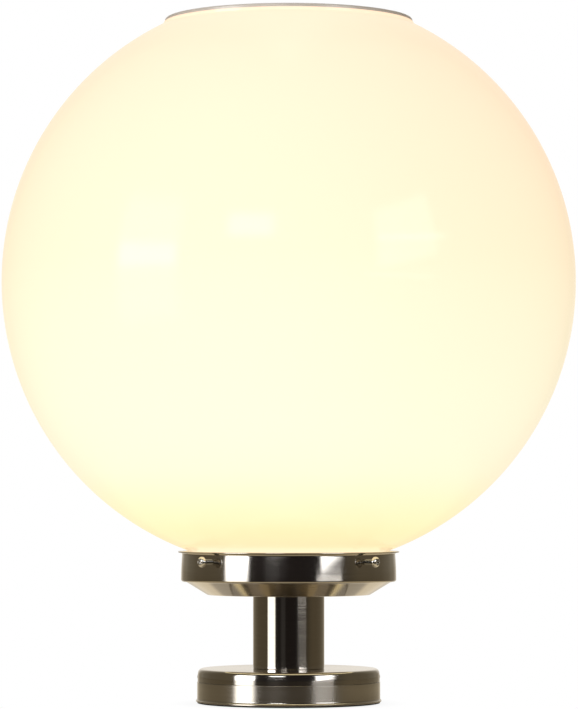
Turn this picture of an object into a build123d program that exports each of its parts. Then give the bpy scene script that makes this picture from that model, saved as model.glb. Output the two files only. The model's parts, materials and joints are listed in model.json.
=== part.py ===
from build123d import *
import os
from math import cos, radians, sin, sqrt

# Solar pillar light: an opal globe on a stainless stand, with a lift-off solar head in its top.
# Millimetres, +Z up. The origin is the centre of the base's underside and the front faces -Y.

# Base: a foot ring that is screwed to the pillar, and a canopy that slips over its spigot
base_gasket_thickness = 0.8
base_gasket_width = 4.0
base_gasket_inset = 0.7
base_sheet = 0.9
canopy_diameter = 95.0
foot_step = 0.2
foot_diameter = canopy_diameter + 2 * foot_step
foot_lip_width = 0.65
foot_lip_diameter = foot_diameter + 2 * foot_lip_width
foot_lip_edge = 0.7
foot_lip_flare = 1.1
foot_wall_height = 10.2
foot_spigot_height = 4.0
foot_opening_diameter = 48.0
pillar_hole_circle = 66.0
pillar_hole_diameter = 5.5
pillar_hole_count = 3
canopy_height = 6.6
canopy_shoulder_radius = 2.3
canopy_seam = 0.3
canopy_clearance = 0.15
canopy_screw_diameter = 3.0
canopy_screw_length = 3.0
canopy_screw_rise = 2.2
canopy_screw_recess = 0.15
canopy_screw_clearance = 0.1
screw_slot_width = 0.7
screw_slot_depth = 0.7

# Stem: a tube drawn tight between canopy and gallery by a hollow tie rod
stem_diameter = 37.2
stem_wall = 1.5
stem_length = 38.3
bush_length = 8.0
bush_clearance = 0.1
rod_diameter = 10.0
rod_bore = 7.0
rod_clearance = 0.15
rod_end = 2.0
washer_diameter = 24.0
washer_thickness = 1.5
nut_width = 16.0
nut_thickness = 5.0
nut_chamfer = 0.6

# Globe with a lipped neck, on a sloped rubber seat
globe_diameter = 300.0
globe_wall = 2.5
globe_opening_diameter = 120.0
neck_diameter = 100.0
neck_length = 10.2
neck_lip_width = 1.6
neck_lip_height = 3.5
seat_thickness = 1.8
seat_width = 5.2
seat_margin = 0.6
seat_gap = 0.05

# Gallery: spun sheet cup with a rolled lip and plunged collars for the set screws
gallery_sheet = 0.8
gallery_mouth_gap = 5.55
gallery_mouth_diameter = neck_diameter + 2 * gallery_mouth_gap
gallery_lip_width = 2.2
gallery_lip_diameter = gallery_mouth_diameter + 2 * gallery_lip_width
gallery_wall_lean = 0.6
gallery_wall_diameter = gallery_mouth_diameter + 2 * gallery_wall_lean
gallery_wall_height = 15.1
gallery_step_width = 2.45
gallery_cone_diameter = gallery_wall_diameter - 2 * gallery_step_width
gallery_cone_width = 11.3
gallery_floor_diameter = gallery_cone_diameter - 2 * gallery_cone_width
gallery_cone_height = 6.9
gallery_floor_bend = 2.0
gallery_step_bend = 0.6
gallery_corner_bend = 1.2
gallery_lip_bend = 1.0
set_screw_count = 4
set_screw_first_angle = 45.0
set_screw_diameter = 3.0
set_screw_rise = 10.9
set_screw_gap = 0.3
set_screw_stand = 8.5
set_screw_clearance = 0.05
set_screw_head_diameter = 5.4
set_screw_head_height = 1.9
set_screw_head_round = 1.1
collar_wall = 1.3
collar_gap = 0.6

# Solar head: a rim that covers the opening, with a cup below it for battery and electronics
rim_width = 5.0
rim_diameter = globe_opening_diameter + 2 * rim_width
rim_overhang = 0.2
rim_thickness = 2.3
rim_round = 0.8
rim_border = 2.6
rim_stand = 0.2
seal_thickness = 0.35
seal_width = 2.4
seal_inset = 1.2
seal_gap = 0.05
head_clearance = 0.7
head_depth = 33.0
head_wall = 2.0
deck_thickness = 2.0
panel_cover_thickness = 1.2
panel_clearance = 0.15
panel_board_thickness = 1.6
cell_thickness = 0.3
cell_columns = 2
cell_rows = 9
cell_gap = 1.0
cell_margin = 2.0
boss_diameter = 8.0
boss_count = 3
boss_first_angle = 90.0
boss_gap = 0.8
pilot_depth = 12.0
bottom_plate = 2.0
bottom_round = 1.0
locating_wall = 1.5
locating_height = 3.0
locating_clearance = 0.2
cover_screw_diameter = 2.5
cover_screw_head_diameter = 5.4
cover_screw_head_height = 2.0
cover_screw_reach = 8.0
cover_screw_clearance = 0.05

# Light source under the solar head
led_board_diameter = 48.0
led_board_thickness = 1.6
led_circle = 30.0
led_count = 12
led_length = 3.5
led_width = 2.8
led_height = 0.8
lens_wall = 1.5
lens_gap = 0.5
lens_diameter = led_board_diameter + 2 * (lens_gap + lens_wall)
lens_flange_width = 4.0
lens_flange_diameter = lens_diameter + 2 * lens_flange_width
lens_depth = 15.0
lens_bend = 9.0
lens_flange_bend = 2.0

# Battery in the back half of the cup
cell_diameter = 18.4
cell_length = 65.0
cell_button_diameter = 6.0
cell_button_height = 1.0
battery_offset = 21.0
holder_wall = 2.0
holder_base = 2.0
holder_clearance = 0.3
contact_thickness = 0.5
contact_width = 9.0
contact_rise = 4.0

# Control board in the front half, on posts of the bottom cover
control_length = 44.0
control_width = 32.0
control_thickness = 1.6
control_offset = -30.0
post_diameter = 5.0
post_inset = 3.0
chip_width = 9.0
chip_height = 1.6
chip_shift = 5.0
can_diameter = 8.0
can_height = 7.0
can_spacing = 22.0
socket_length = 10.0
socket_width = 5.0
socket_height = 6.0
socket_offset = 4.0
socket_inset = 7.0
board_screw_diameter = 2.0
board_screw_head_diameter = 3.8
board_screw_head_height = 1.3
board_screw_reach = 6.0
board_screw_clearance = 0.1
lead_diameter = 1.4
lead_spacing = 2.4
lead_hole_diameter = 7.0
lead_bend = 3.0
panel_lead_offset = 12.0
panel_lead_shift = 6.0
battery_lead_gap = 1.8
battery_lead_height = holder_base + holder_clearance + cell_diameter + battery_lead_gap
battery_lead_inset = 6.0

# Push switch on the underside
switch_shift = 8.0
switch_offset = control_offset - switch_shift
switch_travel = 1.5
switch_gap = 0.9
switch_width = 8.0
switch_height = 5.5
button_diameter = 9.4
button_clearance = 0.25
button_stand = 3.4
button_flange_diameter = 12.0
button_flange_thickness = 1.0
button_seat_gap = 0.05
button_stem_diameter = 3.0
button_stem_reach = 1.5

# Heights and radii that follow from the sizes above
foot_z = base_gasket_thickness
seam_z = foot_z + foot_wall_height
canopy_rim_z = seam_z + canopy_seam
canopy_z = canopy_rim_z + canopy_height
gallery_z = canopy_z + stem_length
step_z = gallery_z + gallery_cone_height
lip_z = step_z + gallery_wall_height
set_screw_z = step_z + set_screw_rise

foot_radius = foot_diameter / 2
foot_lip_radius = foot_lip_diameter / 2
canopy_radius = canopy_diameter / 2
spigot_radius = canopy_radius - base_sheet - canopy_clearance
rod_hole_radius = rod_diameter / 2 + rod_clearance
stem_bore_radius = stem_diameter / 2 - stem_wall

cone_run = (gallery_cone_diameter - gallery_floor_diameter) / 2
cone_slope = gallery_cone_height / cone_run
cone_sheet = gallery_sheet * sqrt(1 + cone_slope**2)
neck_radius = neck_diameter / 2
neck_lip_radius = neck_radius + neck_lip_width
globe_radius = globe_diameter / 2
seat_outer_radius = neck_lip_radius + seat_margin
seat_inner_radius = seat_outer_radius - seat_width


def cone_inside(radius):
    """Height of the gallery cone's inner face at a radius."""
    return gallery_z + cone_slope * (radius - gallery_floor_diameter / 2) + cone_sheet


neck_z = cone_inside(neck_lip_radius) + seat_thickness + seat_gap
globe_z = neck_z + neck_lip_height + neck_length + sqrt(globe_radius**2 - neck_radius**2)
rim_radius = rim_diameter / 2
land_radius = rim_radius - rim_overhang
land_z = globe_z + sqrt(globe_radius**2 - land_radius**2)
rim_z = land_z + seal_gap + seal_thickness
rim_top_z = rim_z + rim_thickness
panel_cover_z = rim_top_z - rim_stand - panel_cover_thickness
panel_board_z = panel_cover_z - cell_thickness - panel_board_thickness
deck_z = panel_board_z - deck_thickness
cup_z = rim_z - head_depth
plate_z = cup_z - bottom_plate
cup_radius = globe_opening_diameter / 2 - head_clearance
cup_bore_radius = cup_radius - head_wall
locating_radius = cup_bore_radius - locating_clearance
boss_circle = locating_radius - locating_wall - boss_gap - boss_diameter / 2
pilot_radius = cover_screw_diameter / 2 + cover_screw_clearance
button_flange_z = cup_z + button_seat_gap
switch_z = button_flange_z + button_flange_thickness + switch_travel + switch_gap
control_z = switch_z + switch_height
post_height = control_z - cup_z
control_top_z = control_z + control_thickness
battery_z = cup_z + holder_base + holder_clearance + cell_diameter / 2
holder_bore_length = cell_length + 2 * (cell_button_height + contact_thickness + holder_clearance)
holder_length = holder_bore_length + 2 * holder_wall
holder_width = cell_diameter + 2 * (holder_clearance + holder_wall)
contact_x = holder_bore_length / 2 - contact_thickness / 2
contact_top_z = battery_z + contact_rise
lead_radius = lead_diameter / 2
control_posts_x = control_length - 2 * post_inset
control_posts_y = control_width - 2 * post_inset
button_z = plate_z - button_stand
button_radius = button_diameter / 2

# Base gasket: flat rubber ring between foot ring and pillar
with BuildPart() as base_gasket:
    with BuildSketch():
        Circle(foot_lip_radius - base_gasket_inset)
        Circle(foot_lip_radius - base_gasket_inset - base_gasket_width, mode=Mode.SUBTRACT)
    extrude(amount=base_gasket_thickness)
base_gasket.part.label = "base_gasket"

# Foot ring: floor with pillar holes, wall with a flared lip, spigot that carries the canopy
with BuildPart() as foot_ring:
    with BuildSketch(Plane.XZ):
        with BuildLine():
            flare_top = (foot_radius, foot_z + foot_lip_edge + foot_lip_flare)
            lip_top = (foot_lip_radius, foot_z + foot_lip_edge)
            flare = TangentArc(flare_top, lip_top, tangent=(0, -1))
            Polyline(
                flare @ 1,
                (foot_lip_radius, foot_z),
                (foot_opening_diameter / 2, foot_z),
                (foot_opening_diameter / 2, foot_z + base_sheet),
                (foot_radius - base_sheet, foot_z + base_sheet),
                (foot_radius - base_sheet, seam_z - base_sheet),
                (spigot_radius - base_sheet, seam_z - base_sheet),
                (spigot_radius - base_sheet, seam_z + foot_spigot_height),
                (spigot_radius, seam_z + foot_spigot_height),
                (spigot_radius, seam_z),
                (foot_radius, seam_z),
                flare @ 0,
            )
        make_face()
    revolve(axis=Axis.Z)
    with BuildSketch(Plane.XY.offset(foot_z)):
        with PolarLocations(pillar_hole_circle / 2, pillar_hole_count, start_angle=90):
            Circle(pillar_hole_diameter / 2)
    extrude(amount=base_sheet, mode=Mode.SUBTRACT)
    with BuildSketch(Plane.YZ.offset(-canopy_radius)):
        with Locations((0, canopy_rim_z + canopy_screw_rise)):
            Circle(canopy_screw_diameter / 2 + canopy_screw_clearance)
    extrude(amount=canopy_diameter, mode=Mode.SUBTRACT)
foot_ring.part.label = "foot_ring"

# Canopy: pressed cap with a rounded shoulder
with BuildPart() as canopy:
    with BuildSketch(Plane.XZ):
        with BuildLine():
            FilletPolyline(
                (rod_hole_radius, canopy_z),
                (canopy_radius, canopy_z),
                (canopy_radius, canopy_rim_z),
                radius=canopy_shoulder_radius,
            )
            offset(amount=base_sheet, side=Side.RIGHT)
        make_face()
    revolve(axis=Axis.Z)
    with BuildSketch(Plane.YZ.offset(-canopy_radius)):
        with Locations((0, canopy_rim_z + canopy_screw_rise)):
            Circle(canopy_screw_diameter / 2 + canopy_screw_clearance)
    extrude(amount=canopy_diameter, mode=Mode.SUBTRACT)
canopy.part.label = "canopy"

# Canopy screws: flush slotted screws through canopy and spigot, left and right
with BuildPart() as canopy_screws:
    canopy_screw_end = canopy_radius - canopy_screw_recess
    for side in (-1, 1):
        outer = Plane(
            origin=(side * canopy_screw_end, 0, canopy_rim_z + canopy_screw_rise),
            x_dir=(0, 1, 0),
            z_dir=(side, 0, 0),
        )
        with BuildSketch(outer):
            Circle(canopy_screw_diameter / 2)
        extrude(amount=-canopy_screw_length)
        with BuildSketch(outer):
            Rectangle(canopy_screw_diameter, screw_slot_width)
        extrude(amount=-screw_slot_depth, mode=Mode.SUBTRACT)
canopy_screws.part.label = "canopy_screws"

# Stem tube
with BuildPart() as stem_tube:
    with BuildSketch(Plane.XY.offset(canopy_z)):
        Circle(stem_diameter / 2)
        Circle(stem_bore_radius, mode=Mode.SUBTRACT)
    extrude(amount=stem_length)
stem_tube.part.label = "stem_tube"


def centring_bush(bottom_z):
    """Bush that fills the stem's bore and runs on the tie rod."""
    with BuildPart() as bush:
        with BuildSketch(Plane.XY.offset(bottom_z)):
            Circle(stem_bore_radius - bush_clearance)
            Circle(rod_hole_radius, mode=Mode.SUBTRACT)
        extrude(amount=bush_length)
    return bush


lower_bush = centring_bush(canopy_z)
lower_bush.part.label = "lower_bush"
upper_bush = centring_bush(gallery_z - bush_length)
upper_bush.part.label = "upper_bush"


def flat_washer(bottom_z):
    """Washer on the tie rod."""
    with BuildPart() as washer:
        with BuildSketch(Plane.XY.offset(bottom_z)):
            Circle(washer_diameter / 2)
            Circle(rod_hole_radius, mode=Mode.SUBTRACT)
        extrude(amount=washer_thickness)
    return washer


def hex_nut(bottom_z):
    """Hexagon nut on the tie rod, with both outer corners broken."""
    with BuildPart() as nut:
        with BuildSketch(Plane.XY.offset(bottom_z)):
            RegularPolygon(nut_width / 2, 6, major_radius=False)
            Circle(rod_hole_radius, mode=Mode.SUBTRACT)
        extrude(amount=nut_thickness)
        outline = nut.edges().filter_by(GeomType.LINE).filter_by(Axis.Z, reverse=True)
        chamfer(outline, length=nut_chamfer)
    return nut


canopy_washer_z = canopy_z - base_sheet - washer_thickness
canopy_nut_z = canopy_washer_z - nut_thickness
gallery_washer_z = gallery_z + gallery_sheet
gallery_nut_z = gallery_washer_z + washer_thickness
canopy_washer = flat_washer(canopy_washer_z)
canopy_washer.part.label = "canopy_washer"
canopy_nut = hex_nut(canopy_nut_z)
canopy_nut.part.label = "canopy_nut"
gallery_washer = flat_washer(gallery_washer_z)
gallery_washer.part.label = "gallery_washer"
gallery_nut = hex_nut(gallery_nut_z)
gallery_nut.part.label = "gallery_nut"

# Tie rod: hollow rod through canopy, bushes and gallery, flush with the upper nut
with BuildPart() as tie_rod:
    tie_rod_z = canopy_nut_z - rod_end
    with BuildSketch(Plane.XY.offset(tie_rod_z)):
        Circle(rod_diameter / 2)
        Circle(rod_bore / 2, mode=Mode.SUBTRACT)
    extrude(amount=gallery_nut_z + nut_thickness - tie_rod_z)
tie_rod.part.label = "tie_rod"

# Gallery: floor, cone, step, wall that leans in towards its mouth, and rolled lip
wall_radius = gallery_wall_diameter / 2
mouth_radius = gallery_mouth_diameter / 2
screw_share = set_screw_rise / gallery_wall_height
screw_wall_radius = wall_radius + (mouth_radius - wall_radius) * screw_share
collar_radius = set_screw_diameter / 2 + collar_wall
collar_end = screw_wall_radius - gallery_sheet / 2
collar_start = neck_lip_radius + collar_gap

with BuildPart() as gallery:
    with BuildSketch(Plane.XZ):
        with BuildLine():
            FilletPolyline(
                (rod_hole_radius, gallery_z),
                (gallery_floor_diameter / 2, gallery_z),
                (gallery_cone_diameter / 2, step_z),
                (wall_radius, step_z),
                (mouth_radius, lip_z),
                (gallery_lip_diameter / 2, lip_z),
                radius=[gallery_floor_bend, gallery_step_bend, gallery_corner_bend, gallery_lip_bend],
            )
            offset(amount=gallery_sheet, side=Side.LEFT)
        make_face()
    revolve(axis=Axis.Z)
    with Locations((0, 0, set_screw_z)):
        with PolarLocations((collar_start + collar_end) / 2, set_screw_count, set_screw_first_angle):
            Cylinder(collar_radius, collar_end - collar_start, rotation=(0, 90, 0))
        with PolarLocations(screw_wall_radius, set_screw_count, set_screw_first_angle):
            Cylinder(
                set_screw_diameter / 2 + set_screw_clearance,
                2 * (screw_wall_radius - collar_start) + 2 * gallery_sheet,
                rotation=(0, 90, 0),
                mode=Mode.SUBTRACT,
            )
gallery.part.label = "gallery"

# Globe seat: sloped rubber ring that lies on the gallery's cone
with BuildPart() as globe_seat:
    with BuildSketch(Plane.XZ):
        with BuildLine():
            Polyline(
                (seat_inner_radius, cone_inside(seat_inner_radius)),
                (seat_outer_radius, cone_inside(seat_outer_radius)),
                (seat_outer_radius, cone_inside(seat_outer_radius) + seat_thickness),
                (seat_inner_radius, cone_inside(seat_inner_radius) + seat_thickness),
                close=True,
            )
        make_face()
    revolve(axis=Axis.Z)
globe_seat.part.label = "globe_seat"

# Globe: sphere with a lipped neck below and a flat land round the opening in its top
with BuildPart() as globe:
    with BuildSketch(Plane.XZ):
        with Locations((0, globe_z)):
            Circle(globe_radius)
        with Locations((0, neck_z)):
            Rectangle(neck_diameter, globe_z - neck_z, align=(Align.CENTER, Align.MIN))
            Rectangle(2 * neck_lip_radius, neck_lip_height, align=(Align.CENTER, Align.MIN))
        with Locations((0, globe_z)):
            Circle(globe_radius - globe_wall, mode=Mode.SUBTRACT)
        with Locations((0, neck_z)):
            Rectangle(
                neck_diameter - 2 * globe_wall,
                globe_z - neck_z,
                align=(Align.CENTER, Align.MIN),
                mode=Mode.SUBTRACT,
            )
        with Locations((0, land_z)):
            Rectangle(
                globe_diameter,
                globe_radius,
                align=(Align.CENTER, Align.MIN),
                mode=Mode.SUBTRACT,
            )
            Rectangle(
                globe_opening_diameter,
                globe_radius,
                align=(Align.CENTER, Align.MAX),
                mode=Mode.SUBTRACT,
            )
        with Locations((0, neck_z)):
            Rectangle(
                globe_diameter,
                2 * globe_diameter,
                align=(Align.MIN, Align.CENTER),
                mode=Mode.INTERSECT,
            )
    revolve(axis=Axis.Z)
globe.part.label = "globe"

# Set screws: domed head with a cross recess, shank through the gallery wall towards the neck
set_screw_tip = neck_radius + set_screw_gap
set_screw_end = screw_wall_radius + set_screw_stand
set_screw_seat = set_screw_end - set_screw_head_height


def set_screw(angle):
    """Screw whose axis points outwards at an angle round the gallery."""
    direction = (cos(radians(angle)), sin(radians(angle)), 0)
    axis_plane = Plane(origin=(0, 0, set_screw_z), x_dir=(0, 0, 1), z_dir=direction)
    with BuildPart() as screw:
        with BuildSketch(axis_plane.offset(set_screw_tip)):
            Circle(set_screw_diameter / 2)
        extrude(amount=set_screw_seat - set_screw_tip)
        with BuildSketch(axis_plane.offset(set_screw_seat)):
            Circle(set_screw_head_diameter / 2)
        extrude(amount=set_screw_head_height)
        crown = screw.faces().sort_by(Axis((0, 0, set_screw_z), direction))[-1]
        fillet(crown.edges(), radius=set_screw_head_round)
        with BuildSketch(axis_plane.offset(set_screw_end)):
            Rectangle(set_screw_diameter, screw_slot_width)
            Rectangle(screw_slot_width, set_screw_diameter)
        extrude(amount=-screw_slot_depth, mode=Mode.SUBTRACT)
    return screw


set_screws = []
for number in range(set_screw_count):
    new_screw = set_screw(set_screw_first_angle + number * 360 / set_screw_count)
    new_screw.part.label = f"set_screw_{number + 1}"
    set_screws.append(new_screw)

# Head seal: rubber ring under the rim
with BuildPart() as head_seal:
    with BuildSketch(Plane.XY.offset(rim_z - seal_thickness)):
        Circle(rim_radius - seal_inset)
        Circle(rim_radius - seal_inset - seal_width, mode=Mode.SUBTRACT)
    extrude(amount=seal_thickness)
head_seal.part.label = "head_seal"

# Head shell: rim with a tray for the panel, deck, cup wall and screw bosses
with BuildPart() as head_shell:
    with BuildSketch(Plane.XY.offset(rim_z)):
        Circle(rim_radius)
    extrude(amount=rim_thickness)
    fillet(head_shell.edges().group_by(Axis.Z)[-1], radius=rim_round)
    with BuildSketch(Plane.XY.offset(cup_z)):
        Circle(cup_radius)
    extrude(amount=head_depth)
    with BuildSketch(Plane.XY.offset(panel_cover_z)):
        Circle(rim_radius - rim_border)
    extrude(amount=rim_thickness, mode=Mode.SUBTRACT)
    with BuildSketch(Plane.XY.offset(panel_board_z)):
        Circle(cup_bore_radius)
    extrude(amount=rim_thickness + panel_board_thickness, mode=Mode.SUBTRACT)
    with BuildSketch(Plane.XY.offset(cup_z)):
        Circle(cup_bore_radius)
    extrude(amount=deck_z - cup_z, mode=Mode.SUBTRACT)
    with BuildSketch(Plane.XY.offset(cup_z)):
        with PolarLocations(boss_circle, boss_count, boss_first_angle):
            Circle(boss_diameter / 2)
    extrude(amount=deck_z - cup_z)
    with BuildSketch(Plane.XY.offset(cup_z)):
        with PolarLocations(boss_circle, boss_count, boss_first_angle):
            Circle(pilot_radius)
    extrude(amount=pilot_depth, mode=Mode.SUBTRACT)
    with BuildSketch(Plane.XY.offset(deck_z)):
        with Locations((-panel_lead_offset, control_offset + post_inset)):
            Circle(lead_hole_diameter / 2)
    extrude(amount=deck_thickness, mode=Mode.SUBTRACT)
head_shell.part.label = "head_shell"

# Solar cover: clear disc let into the rim
with BuildPart() as solar_cover:
    with BuildSketch(Plane.XY.offset(panel_cover_z)):
        Circle(rim_radius - rim_border - panel_clearance)
    extrude(amount=panel_cover_thickness)
solar_cover.part.label = "solar_cover"

# Solar board: round board that carries the cells
solar_board_radius = cup_bore_radius - panel_clearance
with BuildPart() as solar_board:
    with BuildSketch(Plane.XY.offset(panel_board_z)):
        Circle(solar_board_radius)
    extrude(amount=panel_board_thickness)
solar_board.part.label = "solar_board"

# Solar cells: strips in columns, cut to the round of the board
cell_field = solar_board_radius - cell_margin
with BuildPart() as solar_cells:
    with BuildSketch(Plane.XY.offset(panel_board_z + panel_board_thickness)):
        column_pitch = 2 * cell_field / cell_columns
        row_pitch = 2 * cell_field / cell_rows
        with GridLocations(column_pitch, row_pitch, cell_columns, cell_rows):
            Rectangle(column_pitch - cell_gap, row_pitch - cell_gap)
        Circle(cell_field, mode=Mode.INTERSECT)
    extrude(amount=cell_thickness)
solar_cells.part.label = "solar_cells"

# Bottom cover: plate with a locating ring, board posts, and holes for screws, leads and button
with BuildPart() as bottom_cover:
    with BuildSketch(Plane.XY.offset(plate_z)):
        Circle(cup_radius)
    extrude(amount=bottom_plate)
    fillet(bottom_cover.edges().group_by(Axis.Z)[0], radius=bottom_round)
    with BuildSketch(Plane.XY.offset(cup_z)):
        Circle(locating_radius)
        Circle(locating_radius - locating_wall, mode=Mode.SUBTRACT)
    extrude(amount=locating_height)
    with BuildSketch(Plane.XY.offset(cup_z)):
        with Locations((0, control_offset)):
            with GridLocations(control_posts_x, control_posts_y, 2, 2):
                Circle(post_diameter / 2)
    extrude(amount=post_height)
    with BuildSketch(Plane.XY.offset(control_z)):
        with Locations((0, control_offset)):
            with GridLocations(control_posts_x, control_posts_y, 2, 2):
                Circle(board_screw_diameter / 2 + board_screw_clearance)
    extrude(amount=-post_height, mode=Mode.SUBTRACT)
    with BuildSketch(Plane.XY.offset(plate_z)):
        with PolarLocations(boss_circle, boss_count, boss_first_angle):
            Circle(pilot_radius)
        with Locations((0, switch_offset)):
            Circle(button_radius + button_clearance)
        Circle(lead_hole_diameter / 2)
    extrude(amount=bottom_plate, mode=Mode.SUBTRACT)
bottom_cover.part.label = "bottom_cover"

# Cover screws: up through the plate into the bosses
with BuildPart() as cover_screws:
    with BuildSketch(Plane.XY.offset(plate_z - cover_screw_head_height)):
        with PolarLocations(boss_circle, boss_count, boss_first_angle):
            Circle(cover_screw_head_diameter / 2)
    extrude(amount=cover_screw_head_height)
    with BuildSketch(Plane.XY.offset(plate_z)):
        with PolarLocations(boss_circle, boss_count, boss_first_angle):
            Circle(cover_screw_diameter / 2)
    extrude(amount=bottom_plate + cover_screw_reach)
cover_screws.part.label = "cover_screws"

# Light source: round board, ring of light-emitting diodes and frosted lens
led_board_z = plate_z - led_board_thickness
with BuildPart() as led_board:
    with BuildSketch(Plane.XY.offset(led_board_z)):
        Circle(led_board_diameter / 2)
    extrude(amount=led_board_thickness)
led_board.part.label = "led_board"

with BuildPart() as leds:
    with BuildSketch(Plane.XY.offset(led_board_z)):
        with PolarLocations(led_circle / 2, led_count):
            Rectangle(led_width, led_length)
    extrude(amount=-led_height)
leds.part.label = "leds"

with BuildPart() as led_lens:
    with BuildSketch(Plane.XZ):
        with BuildLine():
            FilletPolyline(
                (0, plate_z - lens_depth),
                (lens_diameter / 2, plate_z - lens_depth),
                (lens_diameter / 2, plate_z - lens_wall),
                (lens_flange_diameter / 2, plate_z - lens_wall),
                radius=[lens_bend, lens_flange_bend],
            )
            offset(amount=lens_wall, side=Side.LEFT)
        make_face()
    revolve(axis=Axis.Z)
led_lens.part.label = "led_lens"

# Battery: holder with a round trough, end contacts and one round cell lying along X
with BuildPart() as battery_holder:
    with BuildSketch(Plane.XY.offset(cup_z)):
        with Locations((0, battery_offset)):
            Rectangle(holder_length, holder_width)
    extrude(amount=battery_z - cup_z)
    with BuildSketch(Plane.YZ.offset(-holder_bore_length / 2)):
        with Locations((battery_offset, battery_z)):
            Circle(cell_diameter / 2 + holder_clearance)
    extrude(amount=holder_bore_length, mode=Mode.SUBTRACT)
battery_holder.part.label = "battery_holder"

with BuildPart() as battery_contacts:
    for side in (-1, 1):
        with BuildSketch(Plane.YZ.offset(side * contact_x - contact_thickness / 2)):
            with Locations((battery_offset, contact_top_z)):
                Rectangle(
                    contact_width,
                    contact_top_z - cup_z - holder_base - holder_wall,
                    align=(Align.CENTER, Align.MAX),
                )
        extrude(amount=contact_thickness)
battery_contacts.part.label = "battery_contacts"

with BuildPart() as battery_cell:
    with BuildSketch(Plane.YZ.offset(-cell_length / 2)):
        with Locations((battery_offset, battery_z)):
            Circle(cell_diameter / 2)
    extrude(amount=cell_length)
    with BuildSketch(Plane.YZ.offset(cell_length / 2)):
        with Locations((battery_offset, battery_z)):
            Circle(cell_button_diameter / 2)
    extrude(amount=cell_button_height)
battery_cell.part.label = "battery_cell"

# Control board with its parts and screws
with BuildPart() as control_board:
    with BuildSketch(Plane.XY.offset(control_z)):
        with Locations((0, control_offset)):
            Rectangle(control_length, control_width)
            with GridLocations(control_posts_x, control_posts_y, 2, 2):
                Circle(board_screw_diameter / 2 + board_screw_clearance, mode=Mode.SUBTRACT)
    extrude(amount=control_thickness)
control_board.part.label = "control_board"

with BuildPart() as control_parts:
    chip_y = control_offset - chip_shift
    with BuildSketch(Plane.XY.offset(control_top_z)):
        with Locations((0, chip_y)):
            Rectangle(chip_width, chip_width)
    extrude(amount=chip_height)
    with BuildSketch(Plane.XY.offset(control_top_z)):
        with Locations((-can_spacing / 2, chip_y), (can_spacing / 2, chip_y)):
            Circle(can_diameter / 2)
    extrude(amount=can_height)
    with BuildSketch(Plane.XY.offset(control_top_z)):
        with Locations((socket_offset, control_offset + control_width / 2 - socket_inset)):
            Rectangle(socket_length, socket_width)
    extrude(amount=socket_height)
control_parts.part.label = "control_parts"

with BuildPart() as board_screws:
    with BuildSketch(Plane.XY.offset(control_top_z)):
        with Locations((0, control_offset)):
            with GridLocations(control_posts_x, control_posts_y, 2, 2):
                Circle(board_screw_head_diameter / 2)
    extrude(amount=board_screw_head_height)
    with BuildSketch(Plane.XY.offset(control_top_z)):
        with Locations((0, control_offset)):
            with GridLocations(control_posts_x, control_posts_y, 2, 2):
                Circle(board_screw_diameter / 2)
    extrude(amount=-control_thickness - board_screw_reach)
board_screws.part.label = "board_screws"


def wire(points):
    """Insulated wire along straight runs with bends of one radius."""
    with BuildPart() as lead:
        with BuildLine():
            path = FilletPolyline(*points, radius=lead_bend)
        with BuildSketch(Plane(origin=path @ 0, z_dir=path % 0)):
            Circle(lead_radius)
        sweep(path=path)
    return lead.part


# Leads from panel, light source and battery to the control board
with BuildPart() as panel_leads:
    panel_lead_y = control_offset + post_inset
    panel_lead_mid_z = (panel_board_z + control_top_z) / 2
    for shift in (-lead_spacing / 2, lead_spacing / 2):
        start_x = shift - panel_lead_offset
        end_x = start_x + panel_lead_shift
        add(
            wire(
                [
                    (start_x, panel_lead_y, panel_board_z),
                    (start_x, panel_lead_y, panel_lead_mid_z + panel_lead_shift / 2),
                    (end_x, panel_lead_y, panel_lead_mid_z - panel_lead_shift / 2),
                    (end_x, panel_lead_y, control_top_z),
                ]
            )
        )
panel_leads.part.label = "panel_leads"

with BuildPart() as led_leads:
    led_lead_y = control_offset + control_width / 2 - post_inset
    led_lead_z = (control_z + cup_z) / 2
    for shift in (-lead_spacing / 2, lead_spacing / 2):
        add(
            wire(
                [
                    (shift, led_lead_y, control_z),
                    (shift, led_lead_y, led_lead_z),
                    (shift, 0, led_lead_z),
                    (shift, 0, plate_z),
                ]
            )
        )
led_leads.part.label = "led_leads"

with BuildPart() as battery_leads:
    battery_lead_z = cup_z + battery_lead_height
    battery_lead_y = control_offset + control_width / 2 - battery_lead_inset
    for side in (-1, 1):
        end_x = side * (control_length / 2 - battery_lead_inset)
        add(
            wire(
                [
                    (side * contact_x, battery_offset, contact_top_z),
                    (side * contact_x, battery_offset, battery_lead_z),
                    (end_x, battery_lead_y, battery_lead_z),
                    (end_x, battery_lead_y, control_top_z),
                ]
            )
        )
battery_leads.part.label = "battery_leads"

# Push switch: body under the control board, button in the bottom cover with its stem in the body
with BuildPart() as switch_body:
    with BuildSketch(Plane.XY.offset(switch_z)):
        with Locations((0, switch_offset)):
            Rectangle(switch_width, switch_width)
            Circle(button_stem_diameter / 2 + button_clearance, mode=Mode.SUBTRACT)
    extrude(amount=switch_height)
switch_body.part.label = "switch_body"

with BuildPart() as switch_button:
    with BuildSketch(Plane.XY.offset(button_z)):
        with Locations((0, switch_offset)):
            Circle(button_radius)
    extrude(amount=button_flange_z - button_z)
    fillet(switch_button.edges().group_by(Axis.Z)[0], radius=bottom_round)
    with BuildSketch(Plane.XY.offset(button_flange_z)):
        with Locations((0, switch_offset)):
            Circle(button_flange_diameter / 2)
    extrude(amount=button_flange_thickness)
    with BuildSketch(Plane.XY.offset(button_flange_z)):
        with Locations((0, switch_offset)):
            Circle(button_stem_diameter / 2)
    extrude(amount=switch_z + button_stem_reach - button_flange_z)
switch_button.part.label = "switch_button"

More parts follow.
